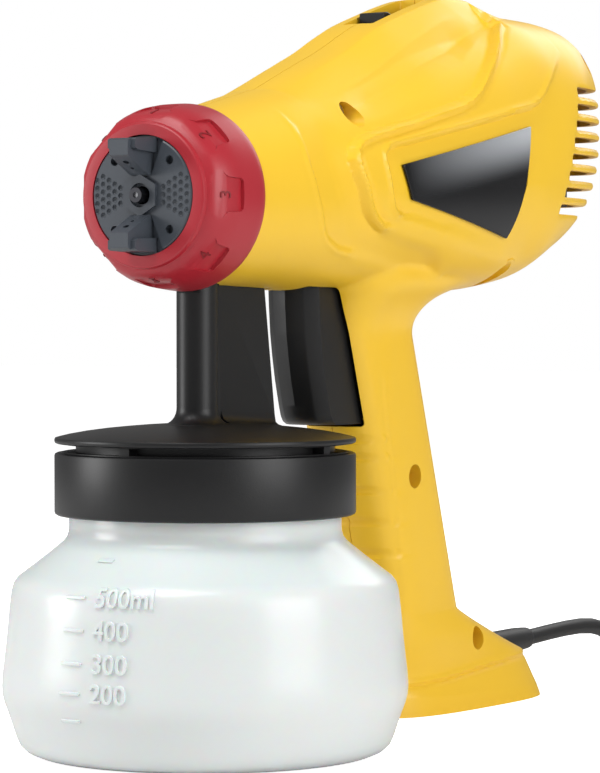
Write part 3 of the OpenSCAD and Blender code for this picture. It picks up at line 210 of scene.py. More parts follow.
def badge_material():
    """Gloss black with a painted reflection that pales it towards its upper rear edge."""
    mat = plain_material("gloss_black_badge", BADGE_BLACK, rough=0.24, grain=300.0, depth=0.01,
                         spread=0.03, specular=0.3)
    tree = mat.node_tree
    if "Separate XYZ" in tree.nodes:
        return mat
    shader = tree.nodes["Principled BSDF"]
    place = add_node(tree, "TexCoord")
    shift_in = add_node(tree, "Mapping", {"Location": (0, -0.096, -0.1862)})
    turn = add_node(tree, "Mapping", {"Rotation": (math.radians(-11.5), 0, 0)})
    parts = add_node(tree, "SeparateXYZ", name="Separate XYZ")
    fade = add_node(tree, "MapRange", {"From Min": -0.013, "From Max": 0.001},
                    interpolation_type="SMOOTHSTEP")
    side = add_node(tree, "MapRange", {"From Min": -0.035, "From Max": 0.038})
    painted_reflection_mask = add_node(tree, "Math", operation="MULTIPLY")
    # Painted reflection: pale grey mixed into the black towards the upper rear edge.
    mix = add_node(tree, "Mix", {"A": BADGE_BLACK + (1,), "B": (0.5, 0.52, 0.55, 1)}, data_type="RGBA")
    wire(tree,
         (place, "Object", shift_in, "Vector"), (shift_in, "Vector", turn, "Vector"),
         (turn, "Vector", parts, "Vector"), (parts, "Z", fade, "Value"), (parts, "Y", side, "Value"),
         (fade, "Result", painted_reflection_mask, 0), (side, "Result", painted_reflection_mask, 1), (painted_reflection_mask, 0, mix, "Factor"),
         (mix, "Result", shader, "Base Color"))
    return mat


def cup_material():
    """Milky plastic that lets some light through."""
    mat = plain_material("milky_plastic", colours().cup, rough=0.34, grain=500.0, depth=0.03, spread=0.05,
                         shade=0.985)
    set_inputs(mat.node_tree.nodes["Principled BSDF"], {"Subsurface Weight": 0.35, "Subsurface Scale": 0.004})
    return mat


# ---------------------------------------------------------------- mesh helpers

def link(name, data):
    """A new object in the scene."""
    obj = bpy.data.objects.new(name, data)
    bpy.context.collection.objects.link(obj)
    return obj


def scratch(name, bm):
    """Turns a bmesh into an object."""
    mesh = bpy.data.meshes.new(name)
    bm.to_mesh(mesh)
    bm.free()
    return link(name, mesh)


def discard(obj):
    """Removes a scratch solid with its mesh."""
    mesh = obj.data
    bpy.data.objects.remove(obj)
    bpy.data.meshes.remove(mesh)


def evaluated_mesh(obj):
    """A new mesh with the form that an object's modifiers or text give it."""
    bpy.context.view_layer.update()
    graph = bpy.context.evaluated_depsgraph_get()
    return bpy.data.meshes.new_from_object(obj.evaluated_get(graph))


def dress(obj, material, body, nodes=(), slot=None, sharp=32):
    """Gives a piece its material, the body it rides on and the CAD nodes it stands for."""
    mesh = obj.data
    mesh.materials.clear()
    mesh.materials.append(material)
    for face in mesh.polygons:
        face.use_smooth = True
    mesh.set_sharp_from_angle(angle=math.radians(sharp))
    if nodes:
        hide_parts(*nodes)
    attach(obj, body)
    return obj


def finish_piece(name, bm, *looks):
    """Turns a bmesh into a dressed piece."""
    return dress(scratch(name, bm), *looks)


def finish_solid(obj, name, rounding, *looks):
    """Names, rounds and dresses a solid that was cut and joined as a scratch solid."""
    obj.name = obj.data.name = name
    soften(obj, *rounding)
    return dress(obj, *looks)


def combine(obj, tool, operation="DIFFERENCE"):
    """Applies a boolean of one scratch solid, or of a bmesh, to another and removes the tool."""
    if isinstance(tool, bmesh.types.BMesh):
        tool = scratch("tool", tool)
    mod = obj.modifiers.new("combine", "BOOLEAN")
    mod.operation = operation
    mod.solver = "MANIFOLD"
    mod.object = tool
    mesh = evaluated_mesh(obj)
    old = obj.data
    obj.modifiers.clear()
    obj.data = mesh
    bpy.data.meshes.remove(old)
    discard(tool)


def soften(obj, width, segments=2, angle=38):
    """Rounds the sharp edges of a finished piece."""
    mod = obj.modifiers.new("soften", "BEVEL")
    mod.width = width
    mod.segments = segments
    mod.limit_method = "ANGLE"
    mod.angle_limit = math.radians(angle)
    mod.use_clamp_overlap = True
    mod.miter_outer = "MITER_ARC"


def grid_form(across, along):
    """A flat grid from -1 to 1 each way."""
    bm = bmesh.new()
    bmesh.ops.create_grid(bm, x_segments=across, y_segments=along, size=1)
    return bm


def bent_grid(across, along):
    """A grid, where its points lie, and the angle that its width stands for, once round."""
    bm = grid_form(across, along)
    spots = np.array([v.co[:] for v in bm.verts])
    return bm, spots, -(spots[:, 0] + 1) * math.pi


def sew(bm):
    """Closes the seam and the ends of a grid that was bent round."""
    bmesh.ops.remove_doubles(bm, verts=bm.verts, dist=1e-6)
    bmesh.ops.holes_fill(bm, edges=[e for e in bm.edges if e.is_boundary], sides=0)
    bmesh.ops.recalc_face_normals(bm, faces=bm.faces)
    return bm


def shift(bm, x, y, z):
    """Moves a form, in mm."""
    bmesh.ops.translate(bm, verts=bm.verts, vec=(x * MM, y * MM, z * MM))
    return bm


def pull_out(bm, faces, vec):
    """Pulls faces out into a solid."""
    made = bmesh.ops.extrude_face_region(bm, geom=faces)
    bmesh.ops.translate(bm, vec=vec, verts=[g for g in made["geom"] if isinstance(g, bmesh.types.BMVert)])


def round_edges(bm, width, segments):
    """Rounds all edges of a form, in mm."""
    if width:
        bmesh.ops.bevel(bm, geom=list(bm.edges), offset=width * MM, affect="EDGES", segments=segments,
                        profile=0.5, material=-1)
    return bm


def slice_form(bm, spot, normal, **options):
    """Cuts a form's faces along a plane through a spot in metres."""
    return bmesh.ops.bisect_plane(bm, geom=list(bm.verts) + list(bm.edges) + list(bm.faces), dist=1e-7,
                                  plane_co=spot, plane_no=normal, **options)


def text_form(text, size, depth, align, bevel=0.0):
    """Solid letters that lie in X and Y."""
    curve = bpy.data.curves.new("text", "FONT")
    curve.body = text
    curve.size = size
    curve.extrude = depth
    curve.bevel_depth = bevel
    curve.align_x = align
    curve.align_y = "CENTER"
    holder = link("text", curve)
    mesh = evaluated_mesh(holder)
    bpy.data.objects.remove(holder)
    bpy.data.curves.remove(curve)
    bm = bmesh.new()
    bm.from_mesh(mesh)
    bpy.data.meshes.remove(mesh)
    return bm


def revolve(profile, axis="Z", centre=(0, 0, 0), steps=96):
    """Spins a profile of (radius, height) pairs, in mm, round an axis."""
    bm = bmesh.new()
    verts = []
    for radius, height in profile:
        spot = (radius * MM, 0, height * MM) if axis == "Z" else (radius * MM, height * MM, 0)
        verts.append(bm.verts.new(spot))
    edges = [bm.edges.new(pair) for pair in zip(verts, verts[1:])]
    bmesh.ops.spin(bm, geom=verts + edges, cent=(0, 0, 0), axis=(0, 0, 1) if axis == "Z" else (0, 1, 0),
                   angle=math.tau, steps=steps, use_merge=True)
    bmesh.ops.remove_doubles(bm, verts=bm.verts, dist=1e-7)
    bmesh.ops.recalc_face_normals(bm, faces=bm.faces)
    bmesh.ops.translate(bm, verts=bm.verts, vec=Vector(centre) * MM)
    return bm


def box_form(low, high, bevel=0.0, segments=3):
    """A block between two corners in mm, its edges rounded."""
    bm = bmesh.new()
    bmesh.ops.create_cube(bm, size=1)
    size = [(h - l) * MM for l, h in zip(low, high)]
    bmesh.ops.scale(bm, vec=size, verts=bm.verts)
    shift(bm, *[(h + l) / 2 for l, h in zip(low, high)])
    return round_edges(bm, bevel, segments)


def rod_form(radius, start, end, segments=40, end_radius=None):
    """A rod between two points in mm."""
    bm = bmesh.new()
    start, end = Vector(start) * MM, Vector(end) * MM
    line = end - start
    bmesh.ops.create_cone(bm, cap_ends=True, segments=segments, radius1=radius * MM,
                          radius2=(radius if end_radius is None else end_radius) * MM, depth=line.length)
    turn = Vector((0, 0, 1)).rotation_difference(line).to_matrix().to_4x4()
    bmesh.ops.transform(bm, matrix=Matrix.Translation((start + end) / 2) @ turn, verts=bm.verts)
    return bm


def prism_form(outline, low, high, axis="X", bevel=0.0, segments=2):
    """A flat outline pulled out along an axis. The outline is in (Y, Z) for X and (X, Z) for Y, in mm."""
    bm = bmesh.new()
    if axis == "X":
        verts = [bm.verts.new((low * MM, a * MM, b * MM)) for a, b in outline]
        pull = (Vector((high - low, 0, 0))) * MM
    else:
        verts = [bm.verts.new((a * MM, low * MM, b * MM)) for a, b in outline]
        pull = (Vector((0, high - low, 0))) * MM
    pull_out(bm, [bm.faces.new(verts)], pull)
    bmesh.ops.recalc_face_normals(bm, faces=bm.faces)
    return round_edges(bm, bevel, segments)


def join_forms(forms):
    """Puts several bmeshes into one."""
    whole = bmesh.new()
    for bm in forms:
        mesh = bpy.data.meshes.new("part")
        bm.to_mesh(mesh)
        bm.free()
        whole.from_mesh(mesh)
        bpy.data.meshes.remove(mesh)
    return whole


# ---------------------------------------------------------------- form of the housing, in mm

def mix(a, b, t):
    return a + (b - a) * t


NOSE_Y, CONE_Y, WIDE_Y, TAIL_Y = -9.1, 40.0, 156.0, 215.0
NOZZLE_Z, BELLY_Z, REAR_Z = 168.6, 141.0, 236.8
CONE_TOP = NOZZLE_Z + 37.9
VENT_COUNT, VENT_PITCH, VENT_H, VENT_LOW = 8, 5.8, 3.4, 168.6
BODY_ROWS = np.array([
    (NOSE_Y, 26.5, NOZZLE_Z + 26.5, NOZZLE_Z - 26.5, 2),
    (mix(NOSE_Y, CONE_Y, 0.5), 30.0, mix(195.1, CONE_TOP, 0.5), mix(142.1, BELLY_Z, 0.5), 2.1),
    (CONE_Y, 33.5, CONE_TOP, BELLY_Z, 2.2),
    (mix(CONE_Y, WIDE_Y, 0.22), mix(33.5, 43, 0.34), mix(CONE_TOP, REAR_Z, 0.2), BELLY_Z, 2.35),
    (mix(CONE_Y, WIDE_Y, 0.45), mix(33.5, 43, 0.68), mix(CONE_TOP, REAR_Z, 0.48), BELLY_Z, 2.5),
    (mix(CONE_Y, WIDE_Y, 0.76), mix(33.5, 43, 0.93), mix(CONE_TOP, REAR_Z, 0.81), BELLY_Z, 2.6),
    (WIDE_Y, 43, REAR_Z, BELLY_Z + 2.5, 2.6),
    (mix(WIDE_Y, TAIL_Y, 0.33), 42.2, REAR_Z, BELLY_Z + 9.5, 2.6),
    (mix(WIDE_Y, TAIL_Y, 0.58), 38.8, REAR_Z - 0.5, BELLY_Z + 15.5, 2.6),
    (mix(WIDE_Y, TAIL_Y, 0.78), 33.0, REAR_Z - 3.3, BELLY_Z + 20.5, 2.5),
    (mix(WIDE_Y, TAIL_Y, 0.92), 26.0, REAR_Z - 8.5, BELLY_Z + 25, 2.4),
    (TAIL_Y, 18.0, REAR_Z - 16, BELLY_Z + 31, 2.3),
])
RIDGE_ROWS = np.array([(28, 0), (60, 4.84), (92, 8.27), (128, 8.8), (146, 5.28), (158, 0)])


def curve_through(xs, ys, x):
    """Smooth interpolation that doesn't overshoot its points."""
    h = np.diff(xs)
    d = np.diff(ys) / h
    slope = np.zeros(len(xs))
    slope[0], slope[-1] = d[0], d[-1]
    for i in range(1, len(xs) - 1):
        if d[i - 1] * d[i] > 0:
            w1, w2 = 2 * h[i] + h[i - 1], h[i] + 2 * h[i - 1]
            slope[i] = (w1 + w2) / (w1 / d[i - 1] + w2 / d[i])
    x = np.clip(x, xs[0], xs[-1])
    i = np.clip(np.searchsorted(xs, x, side="right") - 1, 0, len(h) - 1)
    t = (x - xs[i]) / h[i]
    return ((1 + 2 * t) * (1 - t) ** 2 * ys[i] + t * (1 - t) ** 2 * h[i] * slope[i]
            + t * t * (3 - 2 * t) * ys[i + 1] + t * t * (t - 1) * h[i] * slope[i + 1])


def body_row(y):
    return [curve_through(BODY_ROWS[:, 0], BODY_ROWS[:, k], y) for k in (1, 2, 3, 4)]


def body_surface(y, angle, inset):
    """Points and outward directions of the body at y and at an angle from the +X side, in radians."""
    half, top, low, n = body_row(y)
    mid, tall = (top + low) / 2, (top - low) / 2 - inset
    half = half - inset
    c, s = np.cos(angle), np.sin(angle)
    reach = (np.abs(c) ** n + np.abs(s) ** n) ** (-1 / n)
    x, z = half * reach * c, tall * reach * s
    nx = np.abs(x / half) ** (n - 1) * np.sign(c) / half
    nz = np.abs(z / tall) ** (n - 1) * np.sign(s) / tall
    size = np.hypot(nx, nz) + 1e-12
    rise = curve_through(RIDGE_ROWS[:, 0], RIDGE_ROWS[:, 1], y) * (y > 28) * (y < 158)
    slope = np.clip((20 - np.abs(x)) / 10, 0, 1)
    lift = np.where(s > 0, rise * slope, 0)
    return np.stack([x, y + 0 * x, mid + z + lift], -1), np.stack([nx / size, 0 * x, nz / size], -1)


def side_x(y, z):
    """How far the side of the body stands out."""
    half, top, low, n = body_row(np.asarray(y, float))
    share = np.clip(np.abs(z - (top + low) / 2) / ((top - low) / 2), 0, 0.985)
    return half * (1 - share ** n) ** (1 / n)


def line_points(pairs):
    """Places a line of (Y, Z) pairs on the side of the body."""
    return np.array([(float(side_x(y, z)), y, z) for y, z in pairs])


def distance_to_line(points, line):
    """Least distance from each point to a chain of straight pieces."""
    best = np.full(len(points), 1e9)
    for a, b in zip(line, line[1:]):
        ab = b - a
        t = np.clip(((points - a) @ ab) / (ab @ ab), 0, 1)
        best = np.minimum(best, np.linalg.norm(points - (a + t[:, None] * ab), axis=1))
    return best


def inside(points, outline):
    """Which points lie inside an outline, looked at from the side."""
    y, z = points[:, 1], points[:, 2]
    hit = np.zeros(len(points), bool)
    for (y0, z0), (y1, z1) in zip(outline, outline[1:] + outline[:1]):
        cross = (z0 > z) != (z1 > z)
        at = (y1 - y0) * (z - z0) / (z1 - z0 if z1 != z0 else 1e-9) + y0
        hit ^= cross & (y < at)
    return hit


def step(low, high, v):
    t = np.clip((v - low) / (high - low), 0, 1)
    return t * t * (3 - 2 * t)


WELT = [(146.5, 234), (144.7, 231.7), (138, 228.5), (131.7, 224.5), (119.3, 216.7), (106, 207.5),
        (100, 204.3),
        (93.9, 202), (70, 195.7), (45.9, 190.1), (40, 188), (36.3, 185.2), (35.2, 181.5), (37, 176.5),
        (41.5, 168), (44, 164.6), (47, 162.1), (52.2, 159.3), (66, 156.5), (82.7, 153.7), (89, 152),
        (94.5, 149.3), (99, 146), (104, 143)]
WELT_INSIDE = WELT + [(125, 118), (240, 118), (240, 250), (146.5, 250)]
PANEL = [(167.3, 223.3), (157, 216.5), (148.5, 210), (145.4, 207.4), (141, 204.6), (135, 202.6), (95, 194.2),
         (60, 187.4), (54, 186), (51.3, 183.6), (51.4, 181), (54, 172), (56.3, 167.2), (59.5, 165),
         (64, 163.6), (100, 158), (130.7, 153.3)]
PANEL_INSIDE = PANEL + [(240, 140), (240, 250), (167.3, 250)]
CONE_LINE = [(14, 198), (15, 190.4), (15, 179), (17.5, 171), (20.8, 164.5), (24, 159), (27.4, 156.3),
             (35, 153.4),
             (56, 150), (77.8, 146.5)]
CONE_INSIDE = CONE_LINE + [(60, 130), (110, 130), (110, 240), (14, 240)]


RIDGE_EDGE = np.array([(20.0, 45, 207.5), (18.6, 70, 216), (17.0, 97, 225.5), (15.0, 130, 234)])
FACET_EDGE = np.array([(30.0, 45, 200), (31.0, 75, 203), (30.0, 110, 206), (24.0, 132, 214)])


def body_relief(points):
    """How far the moulded lines and panels lift the surface, in mm."""
    side = points.copy()
    side[:, 0] = np.abs(side[:, 0])
    lift = np.zeros(len(side))
    flank = step(9, 16, side[:, 0])

    d = distance_to_line(side, line_points(WELT)) * np.where(inside(side, WELT_INSIDE), 1, -1)
    lift += flank * (-1.6 * (1 - step(-1.1, 0.2, d)) * step(-26, -5, d)
                     + 1.0 * np.exp(-((d - 1.5) / 0.85) ** 2)
                     - 0.4 * np.exp(-((d - 3.5) / 0.8) ** 2))

    d = distance_to_line(side, line_points(PANEL)) * np.where(inside(side, PANEL_INSIDE), 1, -1)
    fade = 1 - step(140, 172, side[:, 1])
    lift += flank * fade * (-1.5 * step(-0.2, 1.1, d) * (1 - step(9, 30, d))
                            + 0.6 * np.exp(-((d + 1.2) / 0.8) ** 2))

    d = distance_to_line(side, line_points(CONE_LINE)) * np.where(inside(side, CONE_INSIDE), 1, -1)
    low = 1 - step(180, 198, side[:, 2])
    lift += flank * low * (-1.2 * step(-0.6, 1.2, d) * (1 - step(10, 24, d))
                           + 0.3 * np.exp(-((d + 1.4) / 1.0) ** 2))

    y = side[:, 1]
    upper = np.interp(y, RIDGE_EDGE[:, 1], RIDGE_EDGE[:, 0])
    lower = np.interp(y, FACET_EDGE[:, 1], FACET_EDGE[:, 0])
    share = np.clip((side[:, 0] - upper) / (lower - upper), 0, 1)
    high = step(192, 198, side[:, 2])
    along = step(40, 60, y) * (1 - step(118, 134, y)) * high
    lift += along * (-1.7 * np.minimum(share, 1 - share) * 2
                     + 0.3 * np.exp(-((side[:, 0] - upper) / 0.8) ** 2))

    return np.maximum(lift, -2.6) + vent_rounding(side)


def vent_rounding(side):
    """Rounds the outer edges of the fins between the air slots."""
    y, z = side[:, 1], side[:, 2]
    drop = 1.5 * (side[:, 0] - 2) / 43
    turn = (z + drop - VENT_LOW - VENT_H / 2) / VENT_PITCH
    row = np.clip(np.round(turn), 0, VENT_COUNT - 1)
    off = np.abs(turn - row) * VENT_PITCH - VENT_H / 2
    root = WIDE_Y + 14 * row / VENT_COUNT + 2.5
    near = np.maximum(off, 0)
    fall = -0.9 * (1 - np.sqrt(1 - np.clip(1 - near / 1.25, 0, 1) ** 2))
    return fall * step(-1.5, 1.5, y - root) * (side[:, 0] > 1)


def body_form(inset=0.0, across=384, along=300, front=0.0, back=0.0, relief=True):
    """The closed form of the body. The grid's width runs round it and its height runs along it."""
    bm, spots, angle = bent_grid(across, along)
    y = mix(NOSE_Y, TAIL_Y - back, (spots[:, 1] + 1) / 2)
    points, out = body_surface(np.clip(y, NOSE_Y, TAIL_Y), angle, inset)
    if relief:
        points = points + out * body_relief(points)[:, None]
    points[:, 1] = np.where(spots[:, 1] < -0.9999, NOSE_Y - front, points[:, 1])
    for vert, point in zip(bm.verts, points):
        vert.co = point * MM
    return sew(bm)


GRIP_Y, FOOT_Z, LEAN, GRIP_D, GRIP_W = 118.0, 34.0, math.tan(math.radians(18.3)), 45.0, 15.5
HEEL_Y, TOE_Y, FOOT_W = 193.0, 95.0, 22.0
FLARE_Z, GRIP_N = BELLY_Z - 15, 3.2


def grip_surface(z, angle, inset):
    """Points of the handle at height z and at an angle from the +X side."""
    mid = GRIP_Y - (z - FOOT_Z) * LEAN
    mid0 = GRIP_Y + FOOT_Z * LEAN
    ramp_up = np.clip((z - FLARE_Z) / 17, 0, 1)
    flare = 40 * (1 - np.sqrt(1 - (ramp_up * 0.98) ** 2))
    foot = np.clip((FOOT_Z - z) / FOOT_Z, 0, 1)
    heel = (HEEL_Y - mid0 - GRIP_D / 2) * np.clip((FOOT_Z - z) / 18, 0, 1) ** 1.15
    back = np.minimum(mid + GRIP_D / 2 + flare + heel, HEEL_Y) - inset
    front = mid - GRIP_D / 2 - (mid0 - GRIP_D / 2 - TOE_Y) * foot + inset
    half = GRIP_W + (FOOT_W - GRIP_W) * foot + 9 * ramp_up ** 2 - inset
    c, s = np.cos(angle), np.sin(angle)
    reach = (np.abs(c) ** GRIP_N + np.abs(s) ** GRIP_N) ** (-1 / GRIP_N)
    sy = reach * s
    x = half * reach * c * (1 + 0.16 * foot * sy)
    return np.stack([x, (front + back) / 2 + (back - front) / 2 * sy, z], -1)


GRIP_CREASE = [(82.7, 134), (81.8, 115.4), (84.4, 99.1), (89.0, 82.6), (92.3, 66.1), (95.9, 49.4),
               (98.9, 39.3)]


def grip_relief(points, angle):
    """Grip ribs, side crease and foot band of the handle: a shift along Y and one outwards along X, in mm."""
    y, z = points[:, 1], points[:, 2]
    front = np.clip((-np.sin(angle) - 0.2) / 0.4, 0, 1)
    ribs = np.zeros(len(points))
    for rib in (93.0, 87.0, 76.0, 65.5, 55.0):
        ribs += 1.0 * step(-1.9, -0.7, z - rib) * (1 - step(0.2, 1.9, z - rib))
    ribs *= step(46, 54, z)

    crease = np.interp(z, [p[1] for p in reversed(GRIP_CREASE)], [p[0] for p in reversed(GRIP_CREASE)])
    behind = y - crease
    gate = step(38, 46, z) * (1 - step(124, 138, z))
    out = gate * (-0.75 * (1 - step(-0.5, 0.9, behind)) * (1 - front * 0.6))
    out += gate * front * 0.8 * ribs * (1 - step(-2.5, -0.5, behind))

    ridge = np.interp(y, [95, 118, 139, 165, 190], [10, 11, 12.6, 14.2, 14.6])
    band = np.interp(y, [93, 190], [7.2, 3.4])
    share = np.clip((ridge - z) / (ridge - band), 0, 1)
    above = 1 - step(ridge - 0.2, ridge + 16, z)
    out += (-2.0 * (1 - share) * above + 0.55 * np.exp(-((z - ridge - 0.9) / 0.8) ** 2)
            - 0.5 * np.exp(-((z - ridge + 0.5) / 0.6) ** 2))
    return ribs * front, out


def grip_form(inset=0.0, across=180, along=240, rise=0.0, relief=True):
    """The closed form of the handle. The grid's width runs round it and its height runs down it."""
    bm, spots, angle = bent_grid(across, along)
    t = (1 - spots[:, 1]) / 2
    z = mix(rise, BELLY_Z + 9, t)
    points = grip_surface(z, angle, inset)
    if relief:
        forward, out = grip_relief(points, angle)
        points[:, 1] += forward
        points[:, 0] += out * np.cos(angle)
    for vert, point in zip(bm.verts, points):
        vert.co = point * MM
    return sew(bm)


WALL, GRIP_WALL, SLOT_END = 3.5, 2.5, 3.9
TUBE_Y, CORD_Z, PLUG_Z = -4.6, 16.5, 7.4
POCKET_R = 4.0
SCREW_SPOTS = [(45, 196, 18), (192.5, 221, 17), (140, 147, 8), (102.3, 80, 6), (143, 23.2, 6)]
BADGE_CORNERS = [(59.6, 180.5), (133.8, 196.1), (125.9, 158.6), (64.9, 169.6)]


def vent_forms():
    """Slanted slots through the wall at the rear, one for each side and height."""
    forms = []
    for i in range(VENT_COUNT):
        z = VENT_LOW + i * VENT_PITCH
        root = mix(WIDE_Y, WIDE_Y + 14, i / VENT_COUNT)
        for side in (1, -1):
            outline = [(2, z), (2, z + VENT_H), (45, z - 1.1 + VENT_H), (45, z - 1.1)]
            outline = [(x * side, h) for x, h in outline]
            forms.append(prism_form(outline, root + 2.5, TAIL_Y + 9, axis="Y", bevel=0.7))
    return forms


def blend(obj):
    """Smooths the join of the body and the handle."""
    bm = bmesh.new()
    bm.from_mesh(obj.data)
    creases = [e for e in bm.edges if len(e.link_faces) == 2 and e.calc_face_angle(0) > 0.3]
    seeds = [e.verts[0].co for e in creases if 0.119 < e.verts[0].co.z < 0.158 and e.verts[0].co.y > 0.05
             and e.verts[0].co.y < 0.16 and abs(e.verts[0].co.x) < 0.04]
    tree = KDTree(len(seeds))
    for i, co in enumerate(seeds):
        tree.insert(co, i)
    tree.balance()
    near = [(v, tree.find(v.co)[2]) for v in bm.verts if v.co.z < 0.17 and v.co.z > 0.11]
    for reach, turns in ((0.0075, 14), (0.005, 14), (0.003, 12)):
        chosen = [v for v, away in near if away < reach]
        for _ in range(turns):
            bmesh.ops.smooth_vert(bm, verts=chosen, factor=0.5, use_axis_x=True, use_axis_y=True,
                                  use_axis_z=True)
    bm.to_mesh(obj.data)
    bm.free()


def pocket_bore(y, z, depth):
    """The round hole of a screw pocket, from its floor out through the side."""
    return rod_form(POCKET_R, (depth, y, z), (70, y, z))


def housing_solid():
    """Both halves of the housing as one hollow solid with all its openings."""
    outer = scratch("outer", body_form())
    combine(outer, grip_form(), "UNION")
    blend(outer)
    inner = scratch("inner", body_form(inset=WALL, across=96, along=90, front=1, back=WALL, relief=False))
    combine(inner, grip_form(inset=GRIP_WALL, across=80, along=60, rise=GRIP_WALL, relief=False), "UNION")
    keep = scratch("core", body_form(inset=SLOT_END, across=72, along=60, front=2, back=SLOT_END,
                                     relief=False))
    slots = scratch("slots", join_forms(vent_forms()))
    combine(slots, keep)
    combine(outer, inner)
    combine(outer, slots)
    cuts = [
        box_form((-10.9, 42, 97), (10.9, 80.5, 150), bevel=1.2),
        box_form((-5, TUBE_Y, 135), (5, 30, 148)),
        rod_form(6.75, (0, TUBE_Y, 135), (0, TUBE_Y, 162)),
        box_form((-5.65, 91, 226.9), (5.65, 129, 247), bevel=0.8),
        box_form((-2.4, 101, 218), (2.4, 114, 236)),
        rod_form(4.6, (0, 166, CORD_Z), (0, 213, CORD_Z)),
    ]
    for y, z, depth in SCREW_SPOTS:
        cuts.append(pocket_bore(y, z, depth))
    for bm in cuts:
        combine(outer, bm)
    for side in (1, -1):
        combine(outer, badge_form(-4, 1.3, 0.012, side))
    for y, z, depth in SCREW_SPOTS:
        wall = scratch("pocket", rod_form(POCKET_R + 1.4, (depth - 1.5, y, z), (60, y, z)))
        combine(wall, pocket_bore(y, z, depth))
        shell = scratch("limit", body_form(inset=0.3) if z > BELLY_Z else grip_form(inset=0.3))
        combine(wall, shell, "INTERSECT")
        combine(outer, wall, "UNION")
    return outer


def badge_form(outer, inner, grow, side):
    """A plate that follows the side of the body between two depths."""
    bm = grid_form(30, 16)
    c = [np.array(p, float) for p in BADGE_CORNERS]
    middle = sum(c) / 4
    for vert in bm.verts:
        u, v = (vert.co.x + 1) / 2, (vert.co.y + 1) / 2
        spot = mix(mix(c[3], c[2], u), mix(c[0], c[1], u), v)
        spot = middle + (spot - middle) * (1 + grow)
        spot[0] += 1.2 * u * math.sin(math.pi * v)
        vert.co = (float(side_x(spot[0], spot[1])) - outer, spot[0], spot[1])
    pull_out(bm, list(bm.faces), (outer - inner, 0, 0))
    bmesh.ops.scale(bm, vec=(side * MM, MM, MM), verts=bm.verts)
    bmesh.ops.recalc_face_normals(bm, faces=bm.faces)
    return bm


# ---------------------------------------------------------------- operators: shell

class SPRAYER_OT_housing(bpy.types.Operator):
    """Builds the two yellow halves of the housing with their moulded lines, slots and pockets"""
    bl_idname = "sprayer.housing"
    bl_label = "Housing"

    def execute(self, context):
        whole = housing_solid()
        seam = sizes().seam
        for name, node, side in (("shell_left", "housing_left", 1), ("shell_right", "housing_right", -1)):
            bm = bmesh.new()
            bm.from_mesh(whole.data)
            cut = slice_form(bm, (side * seam, 0, 0), (side, 0, 0), clear_inner=True)
            rim = [g for g in cut["geom_cut"] if isinstance(g, bmesh.types.BMEdge)]
            bmesh.ops.triangle_fill(bm, use_beauty=True, use_dissolve=False, edges=rim,
                                    normal=(-side, 0, 0))
            finish_piece(name, bm, housing_material(), "gun", [node], "yellow_plastic", 30)
        discard(whole)
        return {"FINISHED"}


class SPRAYER_OT_badges(bpy.types.Operator):
    """Builds the bare black plates on the two sides"""
    bl_idname = "sprayer.badges"
    bl_label = "Side plates"

    def execute(self, context):
        for name, node, side in (("plate_left", "badge_left", 1), ("plate_right", "badge_right", -1)):
            obj = finish_piece(name, badge_form(0.25, 1.2, 0.0, side), badge_material(), "gun", [node],
                               "badge_plastic")
            soften(obj, 0.00025)
        return {"FINISHED"}


# ---------------------------------------------------------------- operators: head

def turned_form(bm, degrees):
    """Turns a form round the nozzle axis."""
    bmesh.ops.rotate(bm, cent=Vector((0, 0, NOZZLE_Z)) * MM,
                     matrix=Matrix.Rotation(math.radians(degrees), 3, "Y"),
                     verts=bm.verts)
    return bm


